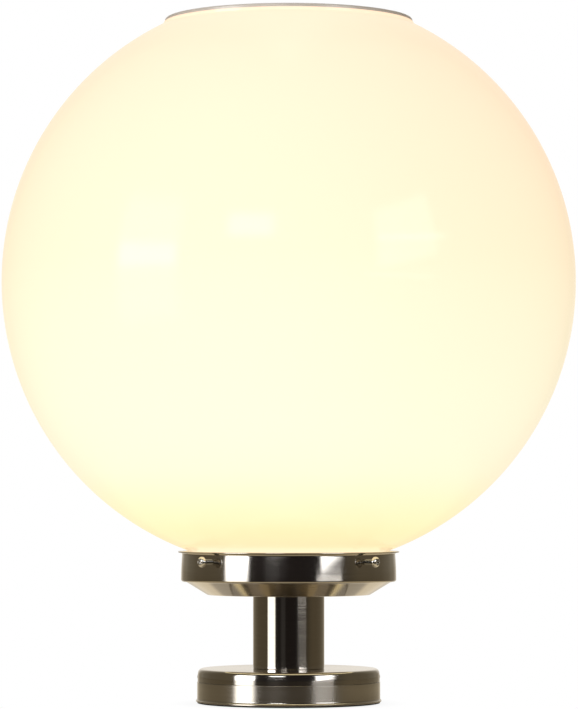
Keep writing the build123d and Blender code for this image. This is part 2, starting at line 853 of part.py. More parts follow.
stand_pieces = [
    base_gasket,
    foot_ring,
    canopy,
    canopy_screws,
    canopy_washer,
    canopy_nut,
    tie_rod,
    stem_tube,
    lower_bush,
    upper_bush,
    gallery,
    gallery_washer,
    gallery_nut,
    globe_seat,
    globe,
]
head_pieces = [
    head_shell,
    head_seal,
    solar_cover,
    solar_board,
    solar_cells,
    bottom_cover,
    cover_screws,
    led_board,
    leds,
    led_lens,
    battery_holder,
    battery_contacts,
    battery_cell,
    battery_leads,
    control_board,
    control_parts,
    board_screws,
    panel_leads,
    led_leads,
    switch_body,
    switch_button,
]

os.makedirs("parts", exist_ok=True)
for piece in stand_pieces + set_screws + head_pieces:
    export_step(piece.part, f"parts/{piece.part.label}.step")
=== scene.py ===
"""Solar pillar light: finished surfaces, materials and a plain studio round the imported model."""
import json
from math import atan2, cos, pi, radians, sin, sqrt, tan

import bmesh
import bpy
import numpy as np
from bpy.props import FloatProperty, FloatVectorProperty, IntProperty, PointerProperty
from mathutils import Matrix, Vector


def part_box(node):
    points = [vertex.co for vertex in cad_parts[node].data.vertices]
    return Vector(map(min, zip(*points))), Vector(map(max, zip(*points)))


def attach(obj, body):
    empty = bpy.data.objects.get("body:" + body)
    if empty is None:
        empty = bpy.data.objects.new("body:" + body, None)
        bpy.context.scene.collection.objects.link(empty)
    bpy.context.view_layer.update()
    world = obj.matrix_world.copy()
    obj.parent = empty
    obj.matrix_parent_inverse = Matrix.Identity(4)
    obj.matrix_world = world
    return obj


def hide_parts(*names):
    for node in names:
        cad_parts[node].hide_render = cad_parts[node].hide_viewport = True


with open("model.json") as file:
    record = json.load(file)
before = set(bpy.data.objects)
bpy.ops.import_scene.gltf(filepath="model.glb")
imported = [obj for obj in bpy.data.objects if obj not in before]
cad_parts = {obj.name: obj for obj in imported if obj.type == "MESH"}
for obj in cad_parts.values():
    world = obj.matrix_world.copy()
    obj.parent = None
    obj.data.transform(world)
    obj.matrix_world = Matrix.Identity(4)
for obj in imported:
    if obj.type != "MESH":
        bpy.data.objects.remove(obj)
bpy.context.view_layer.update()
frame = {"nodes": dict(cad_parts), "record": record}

bl_info = {
    "name": "Solar Pillar Light",
    "version": (1, 0, 0),
    "blender": (4, 5, 0),
    "location": "3D View > Sidebar > Pillar Light",
    "description": "Builds the pieces of a solar pillar light and the studio it stands in",
    "category": "Object",
}

NODE_SLOT = {part["node"]: part["material_slot"] for part in frame["record"]["subparts"]}
NODE_BODY = {
    node: body for body, nodes in frame["record"]["behaviour"]["bodies"].items() for node in nodes
}
SECTORS = 240  # points round the light's axis
SHARP_ANGLE = radians(32)  # an edge that turns by more is shaded sharp
EDGE_HOLD = 0.00012  # from the end of a straight run to the point that keeps its shading flat
SHORT_RUN = 8 * EDGE_HOLD  # a shorter run needs no such points
MERGE_DISTANCE = 1e-7  # points of a new piece that lie nearer than this become one
OUTSIDE_RINGS = 130  # rings of points on the globe's outside
INSIDE_RINGS = 90  # and on its inside
WALL_RINGS = 17  # rings of points on the gallery's wall
CURVE_POINTS = 12  # points along the foot ring's flare and the button's dish
CELL_POINTS = 16  # points along each side of a solar cell
SLIVER = 0.00001  # least width of a solar cell where the circle cuts it off
LEAST_REACH = 0.0001  # least half width of the circle that cuts the solar cells
SCREW_ANGLES = [radians(45 + 90 * number) for number in range(4)]  # set screws, from +X towards +Y


def length(name, description, default):
    """Property for a length in metres."""
    return FloatProperty(name=name, description=description, default=default, unit="LENGTH", precision=5)


def factor(name, description, default):
    """Property for a share of a whole."""
    return FloatProperty(
        name=name, description=description, default=default, subtype="FACTOR", min=0.0, max=1.0
    )


def brightness(name, description, default):
    """Property for the brightness of a light."""
    return FloatProperty(name=name, description=description, default=default, min=0.0)


def colour(name, description, default):
    """Property for a linear colour."""
    return FloatVectorProperty(
        name=name, description=description, default=default, size=3, subtype="COLOR", min=0.0, max=1.0
    )


class StandSizes(bpy.types.PropertyGroup):
    """Sizes of the sheet-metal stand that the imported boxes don't give."""

    gallery_sheet: length("Gallery sheet", "Thickness of the spun gallery", 0.0008)
    gallery_lip: length("Gallery lip", "Width of the gallery's rolled lip", 0.0022)
    gallery_bow: length("Wall bow", "How far the gallery's wall swells between step and lip", 0.00015)
    gallery_lean: length("Wall lean", "How far the gallery's wall leans in towards its mouth", 0.0006)
    gallery_step: length("Gallery step", "Width of the flat step between cone and wall", 0.00245)
    gallery_cone: length("Cone width", "Width of the gallery's cone, seen from above", 0.0113)
    gallery_rise: length("Cone height", "Height of the gallery's cone", 0.0069)
    floor_bend: length("Floor bend", "Bend between the gallery's floor and cone", 0.002)
    step_bend: length("Step bend", "Bend between cone and step", 0.0006)
    corner_bend: length("Corner bend", "Bend between step and wall", 0.0012)
    lip_bend: length("Lip bend", "Bend between wall and lip", 0.001)
    rod_hole: length("Rod hole", "Radius of the hole for the tie rod", 0.00515)
    collar_wall: length("Collar wall", "Wall of the collars that carry the set screws", 0.00104)
    collar_gap: length("Collar gap", "Clearance between the neck's lip and the collars", 0.0006)
    base_sheet: length("Base sheet", "Thickness of canopy and foot ring", 0.0009)
    canopy_shoulder: length("Canopy shoulder", "Radius of the canopy's rounded shoulder", 0.0023)
    canopy_bend: factor("Canopy bend", "Share of the canopy's height where its wall bends in", 0.38)
    canopy_low_lean: length("Low lean", "How far the canopy's wall leans in at its bend", 0.000025)
    canopy_high_lean: length("High lean", "How far it leans in at its top, without the shoulder", 0.000425)
    canopy_bow: length("Canopy bow", "Radius of the bend in the canopy's wall", 0.012)
    foot_lip: length("Foot lip", "How far the foot ring's lip flares out", 0.00065)
    foot_lip_edge: length("Foot lip edge", "Height of the flared lip's edge", 0.0007)
    foot_flare: length("Foot flare", "Height of the flare above the lip's edge", 0.0011)
    foot_opening: length("Foot opening", "Radius of the opening in the foot ring's floor", 0.024)
    pillar_circle: length("Pillar hole circle", "Radius of the circle that the pillar holes lie on", 0.033)
    pillar_hole: length("Pillar hole", "Radius of the holes for the pillar screws", 0.00275)
    spigot_gap: length("Spigot gap", "Clearance between canopy and spigot", 0.00015)
    spigot_height: length("Spigot height", "How far the spigot reaches into the canopy", 0.004)
    gasket_width: length("Gasket width", "Width of the rubber ring under the foot", 0.004)
    stem_wall: length("Stem wall", "Wall of the stem tube", 0.0015)
    edge_round: length("Edge round", "Small rounding of turned edges", 0.0004)


class ScrewSizes(bpy.types.PropertyGroup):
    """Sizes of the visible screws."""

    radius: length("Thread radius", "Outer radius of the set screws' thread", 0.0015)
    pitch: length("Thread pitch", "Pitch of the set screws' thread", 0.0006)
    thread_depth: length("Thread depth", "Depth of the set screws' thread", 0.00034)
    clearance: length("Clearance", "Clearance round the set screws' thread", 0.00005)
    head_radius: length("Head radius", "Radius of the screw heads", 0.0027)
    head_height: length("Head height", "Height of the set screws' heads", 0.0019)
    head_round: length("Head round", "Height of the screw heads' dome", 0.0015)
    recess_width: length("Recess width", "Width of one bar of the cross recess", 0.00075)
    recess_length: length("Recess length", "Length of one bar of the cross recess", 0.0032)
    recess_depth: length("Recess depth", "Depth of the cross recess at its centre", 0.0009)
    # painted shade on the set screws' thread: how far it fades out below the head, and its tone
    painted_shade_edge: length("Oil edge", "How far the thread's oil fades out below the head", 0.0003)
    painted_thread_shade: factor("Thread shade", "Tone of the oiled thread beside the head's", 0.3)


class GlobeSizes(bpy.types.PropertyGroup):
    """Sizes of the opal globe that its packed box doesn't give."""

    wall: length("Globe wall", "Wall of the blown globe", 0.0025)
    neck_radius: length("Neck radius", "Outer radius of the globe's neck", 0.05)
    neck_length: length("Neck length", "Length of the neck above its lip", 0.0102)
    lip_width: length("Neck lip", "How far the neck's lip stands out", 0.0016)
    lip_height: length("Lip height", "Height of the neck's lip", 0.0035)
    opening_radius: length("Opening radius", "Radius of the opening in the globe's top", 0.06)
    kerb_gap: length("Kerb gap", "Clearance between the head's rim and the kerb round the land", 0.00008)
    kerb_width: length("Kerb width", "Width of the raised kerb round the land", 0.0006)
    kerb_height: length("Kerb height", "Height of the kerb above the land", 0.0008)
    kerb_outer_round: length("Kerb outer round", "Rounding of the kerb's outer edge", 0.00027)
    kerb_inner_round: length("Kerb inner round", "Rounding of the kerb's inner edge", 0.00021)
    kerb_foot_round: length("Kerb foot round", "Rounding between kerb and land", 0.00018)
    edge_round: length("Edge round", "Fire-polished rounding of the neck's lip", 0.0007)


class HeadSizes(bpy.types.PropertyGroup):
    """Sizes of the lift-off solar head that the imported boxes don't give."""

    rim_thickness: length("Rim thickness", "Thickness of the rim that lies on the globe", 0.0023)
    rim_round: length("Rim round", "Rounding of the rim's outer edge", 0.0008)
    skirt_width: length("Skirt width", "Width of the rim's skirt round the seal", 0.0009)
    skirt_height: length("Skirt height", "How far the skirt reaches down towards the globe", 0.0003)
    rim_border: length("Rim border", "Width of the rim round the panel's window", 0.0026)
    rim_stand: length("Rim stand", "How far the rim stands above the window", 0.0002)
    window_thickness: length("Window thickness", "Thickness of the clear window", 0.0012)
    cup_wall: length("Cup wall", "Wall of the cup below the rim", 0.002)
    deck: length("Deck", "Thickness of the deck under the panel", 0.002)
    floor_round: length("Floor round", "Rounding of the bottom cover's edge", 0.001)
    ring_wall: length("Locating ring", "Wall of the bottom cover's locating ring", 0.0015)
    ring_height: length("Ring height", "Height of the bottom cover's locating ring", 0.003)
    ring_gap: length("Ring gap", "Clearance round the locating ring", 0.0002)
    lens_wall: length("Lens wall", "Wall of the frosted lens", 0.0015)
    lens_bend: length("Lens bend", "Rounding of the lens's lower edge", 0.009)
    lens_flange: length("Lens flange", "Width of the lens's flange", 0.004)
    button_flange: length("Button flange", "How far the button's flange stands out", 0.0013)
    button_dish: length("Button dish", "Depth of the dish in the button's face", 0.0004)
    cell_columns: IntProperty(name="Cell columns", description="Columns of solar cells", default=2, min=1)
    cell_rows: IntProperty(name="Cell rows", description="Rows of solar cells", default=9, min=1)
    cell_gap: length("Cell gap", "Gap between neighbouring cells", 0.001)
    ribbon_width: length("Ribbon width", "Width of the tinned ribbon on each cell", 0.0011)
    ribbon_height: length("Ribbon height", "Height of the tinned ribbon", 0.00012)
    finger_pitch: length("Finger pitch", "Distance between the printed fingers on a cell", 0.002)
    finger_share: factor("Finger share", "Share of the pitch that a printed finger takes up", 0.09)


class FinishColours(bpy.types.PropertyGroup):
    """Colours of the finishes."""

    opal_body: colour("Opal body", "Opal material seen without its own light", (0.36, 0.335, 0.29))
    # partly the lamp's light and partly a painted reflection, paler where the neck enters the gallery
    glow_and_reflection_at_seat: colour("Glow at the seat", "Paler light where the neck enters the gallery", (1.0, 0.80, 0.57))
    glow_neck: colour("Glow at the neck", "Light from the globe just above its gallery", (1.0, 0.81, 0.475))
    glow_low: colour("Glow low down", "Warmest band of light, above the neck", (1.0, 0.875, 0.51))
    glow_middle: colour("Glow in the middle", "Lightest part of the lit globe", (1.0, 0.90, 0.655))
    glow_upper: colour("Glow higher up", "Light from the globe above its middle", (1.0, 0.83, 0.575))
    glow_top: colour("Glow at the top", "Light from the globe beside its rim", (1.0, 0.735, 0.515))
    steel: colour("Stainless steel", "Spun and turned stainless sheet", (0.66, 0.625, 0.58))
    screw_steel: colour("Polished steel", "Polished screws", (0.80, 0.78, 0.75))
    plated_steel: colour("Plated steel", "Zinc-plated nuts, rod and washers", (0.62, 0.62, 0.60))
    contact: colour("Contact", "Nickel-plated battery contacts", (0.66, 0.62, 0.50))
    rim: colour("Rim", "Satin silver-grey plastic of the solar head", (0.71, 0.665, 0.61))
    rubber: colour("Rubber", "Gaskets and seat", (0.028, 0.027, 0.026))
    bush: colour("Bush", "Bushes in the stem", (0.74, 0.72, 0.66))
    window: colour("Window", "Clear window over the panel", (0.96, 0.98, 1.0))
    cell: colour("Solar cell", "Dark blue silicon", (0.016, 0.036, 0.13))
    laminate: colour("Laminate", "Board behind the cells", (0.022, 0.024, 0.030))
    ribbon: colour("Ribbon", "Tinned copper ribbon and fingers", (0.62, 0.63, 0.64))
    diffuser: colour("Diffuser", "Frosted lens under the head", (0.74, 0.72, 0.67))
    light_board: colour("Light board", "White board of the light source", (0.83, 0.83, 0.80))
    light_chip: colour("Light chip", "Yellow phosphor of the light source", (0.88, 0.74, 0.22))
    holder: colour("Holder", "Battery holder, switch and small components", (0.035, 0.035, 0.036))
    cell_wrap: colour("Cell wrap", "Sleeve of the battery cell", (0.05, 0.17, 0.33))
    circuit_board: colour("Circuit board", "Green solder mask", (0.018, 0.11, 0.045))
    lead: colour("Lead", "Insulation of the leads", (0.34, 0.022, 0.02))
    button: colour("Button", "Push button", (0.035, 0.035, 0.036))


class StudioSettings(bpy.types.PropertyGroup):
    """Camera and light of the studio."""

    lens: FloatProperty(name="Lens", description="Focal length in millimetres", default=179.6, unit="CAMERA")
    distance: length("Distance", "Distance from the camera to the light's axis", 1.85)
    eye_height: length("Eye height", "Height of the camera above the floor", 0.1074)
    aim_height: length("Aim height", "Height on the axis that the camera looks at", 0.1817)
    side_step: length("Side step", "How far the camera stands to the right of the axis", 0.00016)
    left_box: brightness("Left softbox", "Brightness of the left softbox", 6.5)
    right_box: brightness("Right softbox", "Brightness of the right softbox", 3.0)
    small_box: brightness("Small softbox", "Brightness of the small front light", 6.0)
    faint_box: brightness("Faint patches", "Brightness of the faint patches in the dark front", 1.0)
    fill: FloatProperty(
        name="Fill", description="Soft overhead light on matt surfaces", default=11.0, unit="POWER"
    )


def sizes(name):
    """Property group of the scene by its short name."""
    return getattr(bpy.context.scene, "pillar_light_" + name)


# Profiles, as arrays of (radius, height)


def tangent_arc(start, centre, end, steps):
    """Arc about a centre: the two end vectors are blended by the sines of their shares of the angle."""
    first = start - centre
    last = end - centre
    cosine = np.dot(first, last) / (np.linalg.norm(first) * np.linalg.norm(last))
    angle = np.arccos(np.clip(cosine, -1.0, 1.0))
    share = np.linspace(0.0, 1.0, steps)[:, None]
    return centre + (np.sin((1 - share) * angle) * first + np.sin(share * angle) * last) / np.sin(angle)


def rounded_corner(before, corner, after, bend, steps=9):
    """Arc tangent to both sides of a corner; its ends lie bend / tan(half the corner's angle) away."""
    to_before = (before - corner) / np.linalg.norm(before - corner)
    to_after = (after - corner) / np.linalg.norm(after - corner)
    half = np.arccos(np.clip(np.dot(to_before, to_after), -1.0, 1.0)) / 2
    reach = bend / tan(half)
    bisector = (to_before + to_after) / np.linalg.norm(to_before + to_after)
    centre = corner + bisector * bend / sin(half)
    return tangent_arc(corner + to_before * reach, centre, corner + to_after * reach, steps)


def held_run(start, end):
    """Two points just inside the ends of a straight run, which keep its shading flat."""
    run = end - start
    distance = np.linalg.norm(run)
    if distance < SHORT_RUN:
        return np.empty((0, 2))
    return np.array([start + run * EDGE_HOLD / distance, end - run * EDGE_HOLD / distance])


def rounded_path(points, bends, closed=False):
    """Polyline with an arc of the given bend at each corner, and held straight runs between the arcs."""
    points = np.array(points, float)
    count = len(points)
    corners = range(count) if closed else range(1, count - 1)
    arcs = [] if closed else [points[:1]]
    for corner, bend in zip(corners, bends):
        before = points[corner - 1]
        after = points[(corner + 1) % count]
        if bend > 0:
            arcs.append(rounded_corner(before, points[corner], after, bend))
        else:
            arcs.append(points[corner:corner + 1])
    if not closed:
        arcs.append(points[-1:])
    path = [arcs[0]]
    for last, arc in zip(arcs[:-1], arcs[1:]):
        path += [held_run(last[-1], arc[0]), arc]
    if closed:
        path.append(held_run(arcs[-1][-1], arcs[0][0]))
    return np.concatenate(path)


def sheet_profile(path, thickness, square_start=False, steps=7):
    """Closed section of a sheet: path, half-round edge, path moved left by the thickness, half-round edge."""
    along = np.gradient(path, axis=0)
    along[1:-1] = path[2:] - path[:-2]
    along /= np.linalg.norm(along, axis=1, keepdims=True)
    left = np.stack([-along[:, 1], along[:, 0]], axis=1)
    half = thickness / 2
    turn = np.linspace(0.0, pi, steps)[1:-1, None]
    far_edge = path[-1] + half * (left[-1] * (1 - np.cos(turn)) + along[-1] * np.sin(turn))
    moved = (path + left * thickness)[::-1]
    pieces = [path, far_edge, moved]
    if not square_start:
        pieces.append(path[0] + half * (left[0] * (1 + np.cos(turn)) - along[0] * np.sin(turn)))
    return np.concatenate(pieces)


def ring_section(inner, outer, low, high, bend):
    """Closed rectangle between two radii and two heights, with its four corners rounded."""
    corners = [(inner, low), (outer, low), (outer, high), (inner, high)]
    return rounded_path(corners, [bend] * 4, closed=True)


def meridian(radius, centre, start, end, count):
    """Arc of a sphere about a height on the axis: radius cos t across and radius sin t up, start to end."""
    turn = np.linspace(start, end, count)
    return np.stack([radius * np.cos(turn), centre + radius * np.sin(turn)], axis=1)


# Surfaces, as (vertices, faces)


def grid_faces(rows, columns, wrap_rows):
    """Quads of a grid whose columns wrap round, and whose rows wrap too on a closed section."""
    steps = rows if wrap_rows else rows - 1
    row = np.arange(steps)[:, None]
    column = np.arange(columns)[None, :]
    below = row * columns
    above = (row + 1) % rows * columns
    beside = (column + 1) % columns
    quads = np.stack([below + column, below + beside, above + beside, above + column], axis=-1)
    return quads.reshape(-1, 4)


def turned(profile, sectors=SECTORS, closed=True, shift=(0.0, 0.0)):
    """Surface of revolution: x = radius cos t, y = radius sin t, z = height, with t once round the axis."""
    angle = np.arange(sectors) * 2 * pi / sectors
    radius = profile[:, 0][:, None]
    height = np.repeat(profile[:, 1][:, None], sectors, axis=1)
    grid = np.stack([radius * np.cos(angle) + shift[0], radius * np.sin(angle) + shift[1], height], axis=-1)
    return grid.reshape(-1, 3), grid_faces(len(profile), sectors, closed)


def along_axis(surface, origin, direction):
    """Turns a surface's Z axis to a direction in space and moves its origin to a point."""
    vertices, faces = surface
    forward = np.array(direction, float)
    side = np.cross(forward, (0.0, 0.0, 1.0))
    if not side.any():
        side = np.array((1.0, 0.0, 0.0))
    side /= np.linalg.norm(side)
    up = np.cross(forward, side)
    turned_points = vertices @ np.stack([side, up, forward])
    return turned_points + np.array(origin, float), faces


def joined(surfaces):
    """Several surfaces as one list of vertices and faces."""
    vertices = []
    faces = []
    first = 0
    for points, quads in surfaces:
        vertices.append(points)
        faces.append(quads + first)
        first += len(points)
    return np.concatenate(vertices), np.concatenate(faces)


def smooth_step(value, soft):
    """0 below -soft, 1 above soft, and 3s^2 - 2s^3 between."""
    share = np.clip((value + soft) / (2 * soft), 0.0, 1.0)
    return share * share * (3 - 2 * share)


def screw_head(radius, height, rounding, recess_width, recess_length, recess_depth, bars=2, sectors=96):
    """Domed head: a quarter ellipse on a short wall, turned round Z and pressed in along bars on its top."""
    rings = 48
    edge_share = 0.12  # softness of a bar's edges, beside its width
    end_rise = 0.35  # share of its depth that a bar loses towards its ends
    turn = np.linspace(0.0, pi / 2, rings)
    crown = np.stack([radius * np.sin(turn), height - rounding + rounding * np.cos(turn)], axis=1)
    foot = np.array([[radius, 0.0], [0.0, 0.0]])
    vertices, faces = turned(np.concatenate([crown, foot]), sectors, closed=False)
    across, along, rise = vertices.T
    soft = recess_width * edge_share
    pressed = np.zeros(len(vertices))
    for wide, long in ((across, along), (along, across))[:bars]:
        side = smooth_step(recess_width / 2 - np.abs(wide), soft)
        end = smooth_step(recess_length / 2 - np.abs(long), soft)
        taper = 1 - end_rise * np.clip(np.abs(long) / (recess_length / 2), 0.0, 1.0)
        pressed = np.maximum(pressed, side * end * taper)
    upper = smooth_step(rise - height / 2, height / 20)  # leaves the underside flat
    vertices[:, 2] = rise - recess_depth * pressed * upper
    return vertices, faces


def threaded_rod(radius, depth, pitch, reach, sectors=36, samples=10):
    """Thread on a rod: the radius falls by the depth times a clipped saw of height / pitch - angle / turn."""
    flank = 1.35  # steeper than 1, which leaves a flat on the crest
    root = 0.1  # share of the saw that is cut off flat at the root
    rows = int(reach / pitch * samples)
    height = np.linspace(0.0, reach, rows)[:, None]
    angle = np.arange(sectors)[None, :] * 2 * pi / sectors
    phase = (height / pitch - angle / (2 * pi)) % 1.0
    saw = np.clip(flank * np.abs(2 * phase - 1) - root, 0.0, 1.0)
    fade = np.minimum(height / (2 * pitch), 1.0)  # the thread grows over its first two turns
    spread = radius - depth * (1 - saw * fade)
    grid = np.stack(
        [spread * np.cos(angle), spread * np.sin(angle), np.repeat(height, sectors, axis=1)], axis=-1
    )
    bottom = np.zeros((1, sectors, 3))
    top = np.zeros((1, sectors, 3))
    top[..., 2] = reach
    grid = np.concatenate([bottom, grid, top])
    return grid.reshape(-1, 3), grid_faces(rows + 2, sectors, False)


def strip_plate(left, right, depth, low, high):
    """Flat plate: four edge lines run along Y with their X from left and right; a quad closes each end."""
    count = len(depth)
    corners = np.stack(
        [
            np.stack([left, depth, np.full(count, low)], axis=-1),
            np.stack([right, depth, np.full(count, low)], axis=-1),
            np.stack([right, depth, np.full(count, high)], axis=-1),
            np.stack([left, depth, np.full(count, high)], axis=-1),
        ],
        axis=1,
    )
    ends = np.array([[0, 1, 2, 3], np.array([3, 2, 1, 0]) + 4 * (count - 1)])
    return corners.reshape(-1, 3), np.concatenate([grid_faces(count, 4, False), ends])


def pierced_ring(inner, outer, low, high, circle, bore, count, start, sides=8, steps=5):
    """Flat ring with round holes through it.

    A hole's share of the ring is a rectangle of radius and angle. Its edge moves to the hole's edge in equal
    steps of radius and angle at the low face, up the hole's wall, and back to the edge at the high face.
    """
    half = pi / count
    arc = np.linspace(-half, half, SECTORS // count + 1)
    rise = np.linspace(inner, outer, sides + 1)
    radius = np.concatenate(
        [np.full(len(arc) - 1, inner), rise[:-1], np.full(len(arc) - 1, outer), rise[:0:-1]]
    )
    angle = np.concatenate([arc[:-1], np.full(sides, half), arc[:0:-1], np.full(sides, -half)])
    heading = np.arctan2(angle * circle, radius - circle)
    across = bore * np.sin(heading)
    along = circle + bore * np.cos(heading)
    share = np.concatenate([np.linspace(0.0, 1.0, steps), np.linspace(1.0, 0.0, steps)])[:, None]
    spread = radius + (np.hypot(along, across) - radius) * share
    turn = angle + (np.arctan2(across, along) - angle) * share
    height = np.broadcast_to(np.repeat([low, high], steps)[:, None], spread.shape)
    surfaces = []
    for number in range(count):
        place = turn + start + 2 * pi * number / count
        grid = np.stack([spread * np.cos(place), spread * np.sin(place), height], axis=-1)
        surfaces.append((grid.reshape(-1, 3), grid_faces(2 * steps, len(angle), False)))
    return joined(surfaces)


# Pieces


def level_heading(angle):
    """Unit vector across the light's axis, at an angle from +X."""
    return np.array((cos(angle), sin(angle), 0.0))


def frame_reach(node, heading):
    """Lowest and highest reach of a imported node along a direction."""
    mesh = frame["nodes"][node].data
    points = np.empty(len(mesh.vertices) * 3)
    mesh.vertices.foreach_get("co", points)
    reach = points.reshape(-1, 3) @ heading
    return reach.min(), reach.max()


def cross_head(height):
    """Domed screw head with a cross recess, along Z."""
    size = sizes("screw")
    recess = (size.recess_width, size.recess_length, size.recess_depth)
    return screw_head(size.head_radius, height, size.head_round, *recess)


def new_piece(name, surface, replaced, finish=None):
    """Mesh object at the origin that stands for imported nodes, rides on their body and takes their finish.

    A finish of its own, given by name, takes the place of the one that belongs to the nodes' slot.
    """
    vertices, faces = surface
    mesh = bpy.data.meshes.new(name)
    mesh.from_pydata(vertices.tolist(), [], faces.tolist())
    shape = bmesh.new()
    shape.from_mesh(mesh)
    bmesh.ops.remove_doubles(shape, verts=shape.verts, dist=MERGE_DISTANCE)
    bmesh.ops.recalc_face_normals(shape, faces=shape.faces)
    shape.to_mesh(mesh)
    shape.free()
    mesh.polygons.foreach_set("use_smooth", np.ones(len(mesh.polygons), bool))
    mesh.set_sharp_from_angle(angle=SHARP_ANGLE)
    mesh.update()
    piece = bpy.data.objects.new(name, mesh)
    bpy.context.scene.collection.objects.link(piece)
    node = replaced[0]
    piece.data.materials.append(finish_of(finish or NODE_SLOT[node]))
    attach(piece, NODE_BODY[node])
    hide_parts(*replaced)
    return piece


# Shader nodes

NOISE_RANGE = (0.3, 0.7)  # holds nearly all values of a noise
MARK_DEPTH = 0.00002  # depth of turning marks and of moulded grain
COLOUR_A, COLOUR_B, COLOUR_RESULT = 6, 7, 2  # colour sockets of a Mix node
GROUP_OUTPUTS = (("Color", "Color"), ("Roughness", "Float"), ("Height", "Float"))


def feed(tree, node, inputs):
    """Sets a node's inputs from values, or links them from sockets."""
    for key, value in inputs.items():
        if isinstance(value, bpy.types.NodeSocket):
            tree.links.new(value, node.inputs[key])
        else:
            node.inputs[key].default_value = value


def add_node(tree, kind, inputs=None, **settings):
    """New node with its settings and inputs."""
    node = tree.nodes.new(kind)
    for key, value in settings.items():
        setattr(node, key, value)
    feed(tree, node, inputs or {})
    return node


def maths(tree, operation, first, second=0.0):
    """Result of one Math node."""
    return add_node(tree, "ShaderNodeMath", {0: first, 1: second}, operation=operation).outputs[0]


def vector_maths(tree, operation, first, second=(0.0, 0.0, 0.0)):
    """Resulting vector of one Vector Math node."""
    inputs = {0: first, 1: second}
    return add_node(tree, "ShaderNodeVectorMath", inputs, operation=operation).outputs["Vector"]


def vector_length(tree, vector):
    """Length of a vector."""
    return add_node(tree, "ShaderNodeVectorMath", {0: vector}, operation="LENGTH").outputs["Value"]


def scaled(tree, vector, amount):
    """A vector or a colour times a number."""
    inputs = {0: vector, "Scale": amount}
    return add_node(tree, "ShaderNodeVectorMath", inputs, operation="SCALE").outputs["Vector"]


def split(tree, vector):
    """The X, Y and Z of a vector."""
    return add_node(tree, "ShaderNodeSeparateXYZ", {0: vector}).outputs


def object_place(tree):
    """Place on the object, in its own coordinates."""
    return add_node(tree, "ShaderNodeTexCoord").outputs["Object"]


def noise(tree, place, scale, detail=2.0):
    """Value of a noise, about 0.5 on average."""
    inputs = {"Vector": place, "Scale": scale, "Detail": detail}
    return add_node(tree, "ShaderNodeTexNoise", inputs).outputs["Fac"]


def remap(tree, value, low, high, new_low, new_high, kind="LINEAR"):
    """A value's range from low to high, carried to a new range."""
    inputs = {"Value": value, "From Min": low, "From Max": high, "To Min": new_low, "To Max": new_high}
    return add_node(tree, "ShaderNodeMapRange", inputs, interpolation_type=kind).outputs["Result"]


def from_noise(tree, value, new_low, new_high):
    """The usual range of a noise, carried to a new range."""
    return remap(tree, value, *NOISE_RANGE, new_low, new_high)


def soft_step(tree, value, low, high, before=0.0, after=1.0):
    """One number below low, another above high, and a smooth change between."""
    return remap(tree, value, low, high, before, after, "SMOOTHSTEP")


def bump_normal(tree, height, strength, depth):
    """Normal of a surface that rises and falls with a height."""
    inputs = {"Strength": strength, "Distance": depth, "Height": height}
    return add_node(tree, "ShaderNodeBump", inputs).outputs["Normal"]


def colour_ramp(tree, value, stops):
    """Colour that follows a value smoothly through stops of (position, colour)."""
    ramp = add_node(tree, "ShaderNodeValToRGB", {"Fac": value})
    ramp.color_ramp.interpolation = "CARDINAL"
    for _ in stops[2:]:
        ramp.color_ramp.elements.new(0.5)
    for element, (position, tint) in zip(ramp.color_ramp.elements, stops):
        element.position = position
        element.color = (*tint, 1.0)
    return ramp.outputs["Color"]


def mix_shader(tree, share, first, second):
    """First shader where the share is 0, second where it is 1."""
    return add_node(tree, "ShaderNodeMixShader", {0: share, 1: first, 2: second}).outputs[0]


def by_ray(tree, seen, reflected):
    """One shader for the camera and another for reflections and light."""
    camera_ray = add_node(tree, "ShaderNodeLightPath").outputs["Is Camera Ray"]
    return mix_shader(tree, camera_ray, reflected, seen)


# Shared node groups


def new_group(name, inputs):
    """Empty shader node group with named sockets; returns the tree, its input and its output node."""
    tree = bpy.data.node_groups.new(name, "ShaderNodeTree")
    for title, kind, default in inputs:
        socket = tree.interface.new_socket(name=title, in_out="INPUT", socket_type="NodeSocket" + kind)
        socket.default_value = default
    for title, kind in GROUP_OUTPUTS:
        tree.interface.new_socket(name=title, in_out="OUTPUT", socket_type="NodeSocket" + kind)
    return tree, tree.nodes.new("NodeGroupInput"), tree.nodes.new("NodeGroupOutput")


def turning_marks():
    """Fine rings from spinning and polishing: noise quick over radius and height, slow round the axis."""
    name = "Turning marks"
    if name in bpy.data.node_groups:
        return bpy.data.node_groups[name]
    inputs = [
        ("Lines", "Float", 1500.0),
        ("Streak", "Float", 1.6),
        ("Least Roughness", "Float", 0.10),
        ("Most Roughness", "Float", 0.20),
        ("Color", "Color", (0.6, 0.6, 0.6, 1.0)),
    ]
    ring_share = 0.7
    tree, given, result = new_group(name, inputs)
    place = object_place(tree)
    parts = split(tree, place)
    lines = given.outputs["Lines"]
    flat = add_node(tree, "ShaderNodeCombineXYZ", {"X": parts["X"], "Y": parts["Y"]}).outputs[0]
    slow = scaled(tree, vector_maths(tree, "NORMALIZE", flat), given.outputs["Streak"])
    across = maths(tree, "MULTIPLY", vector_length(tree, flat), lines)
    up = maths(tree, "MULTIPLY", parts["Z"], lines)
    quick = add_node(tree, "ShaderNodeCombineXYZ", {"X": across, "Z": up}).outputs[0]
    ring = noise(tree, vector_maths(tree, "ADD", slow, quick), scale=1.0, detail=3.0)
    cloud = noise(tree, place, scale=22.0)
    weighted_ring = maths(tree, "MULTIPLY", ring, ring_share)
    both = maths(tree, "ADD", weighted_ring, maths(tree, "MULTIPLY", cloud, 1 - ring_share))
    tinted = scaled(tree, given.outputs["Color"], from_noise(tree, both, 0.93, 1.05))
    rough = from_noise(tree, both, given.outputs["Least Roughness"], given.outputs["Most Roughness"])
    feed(tree, result, {"Color": tinted, "Roughness": rough, "Height": ring})
    return tree


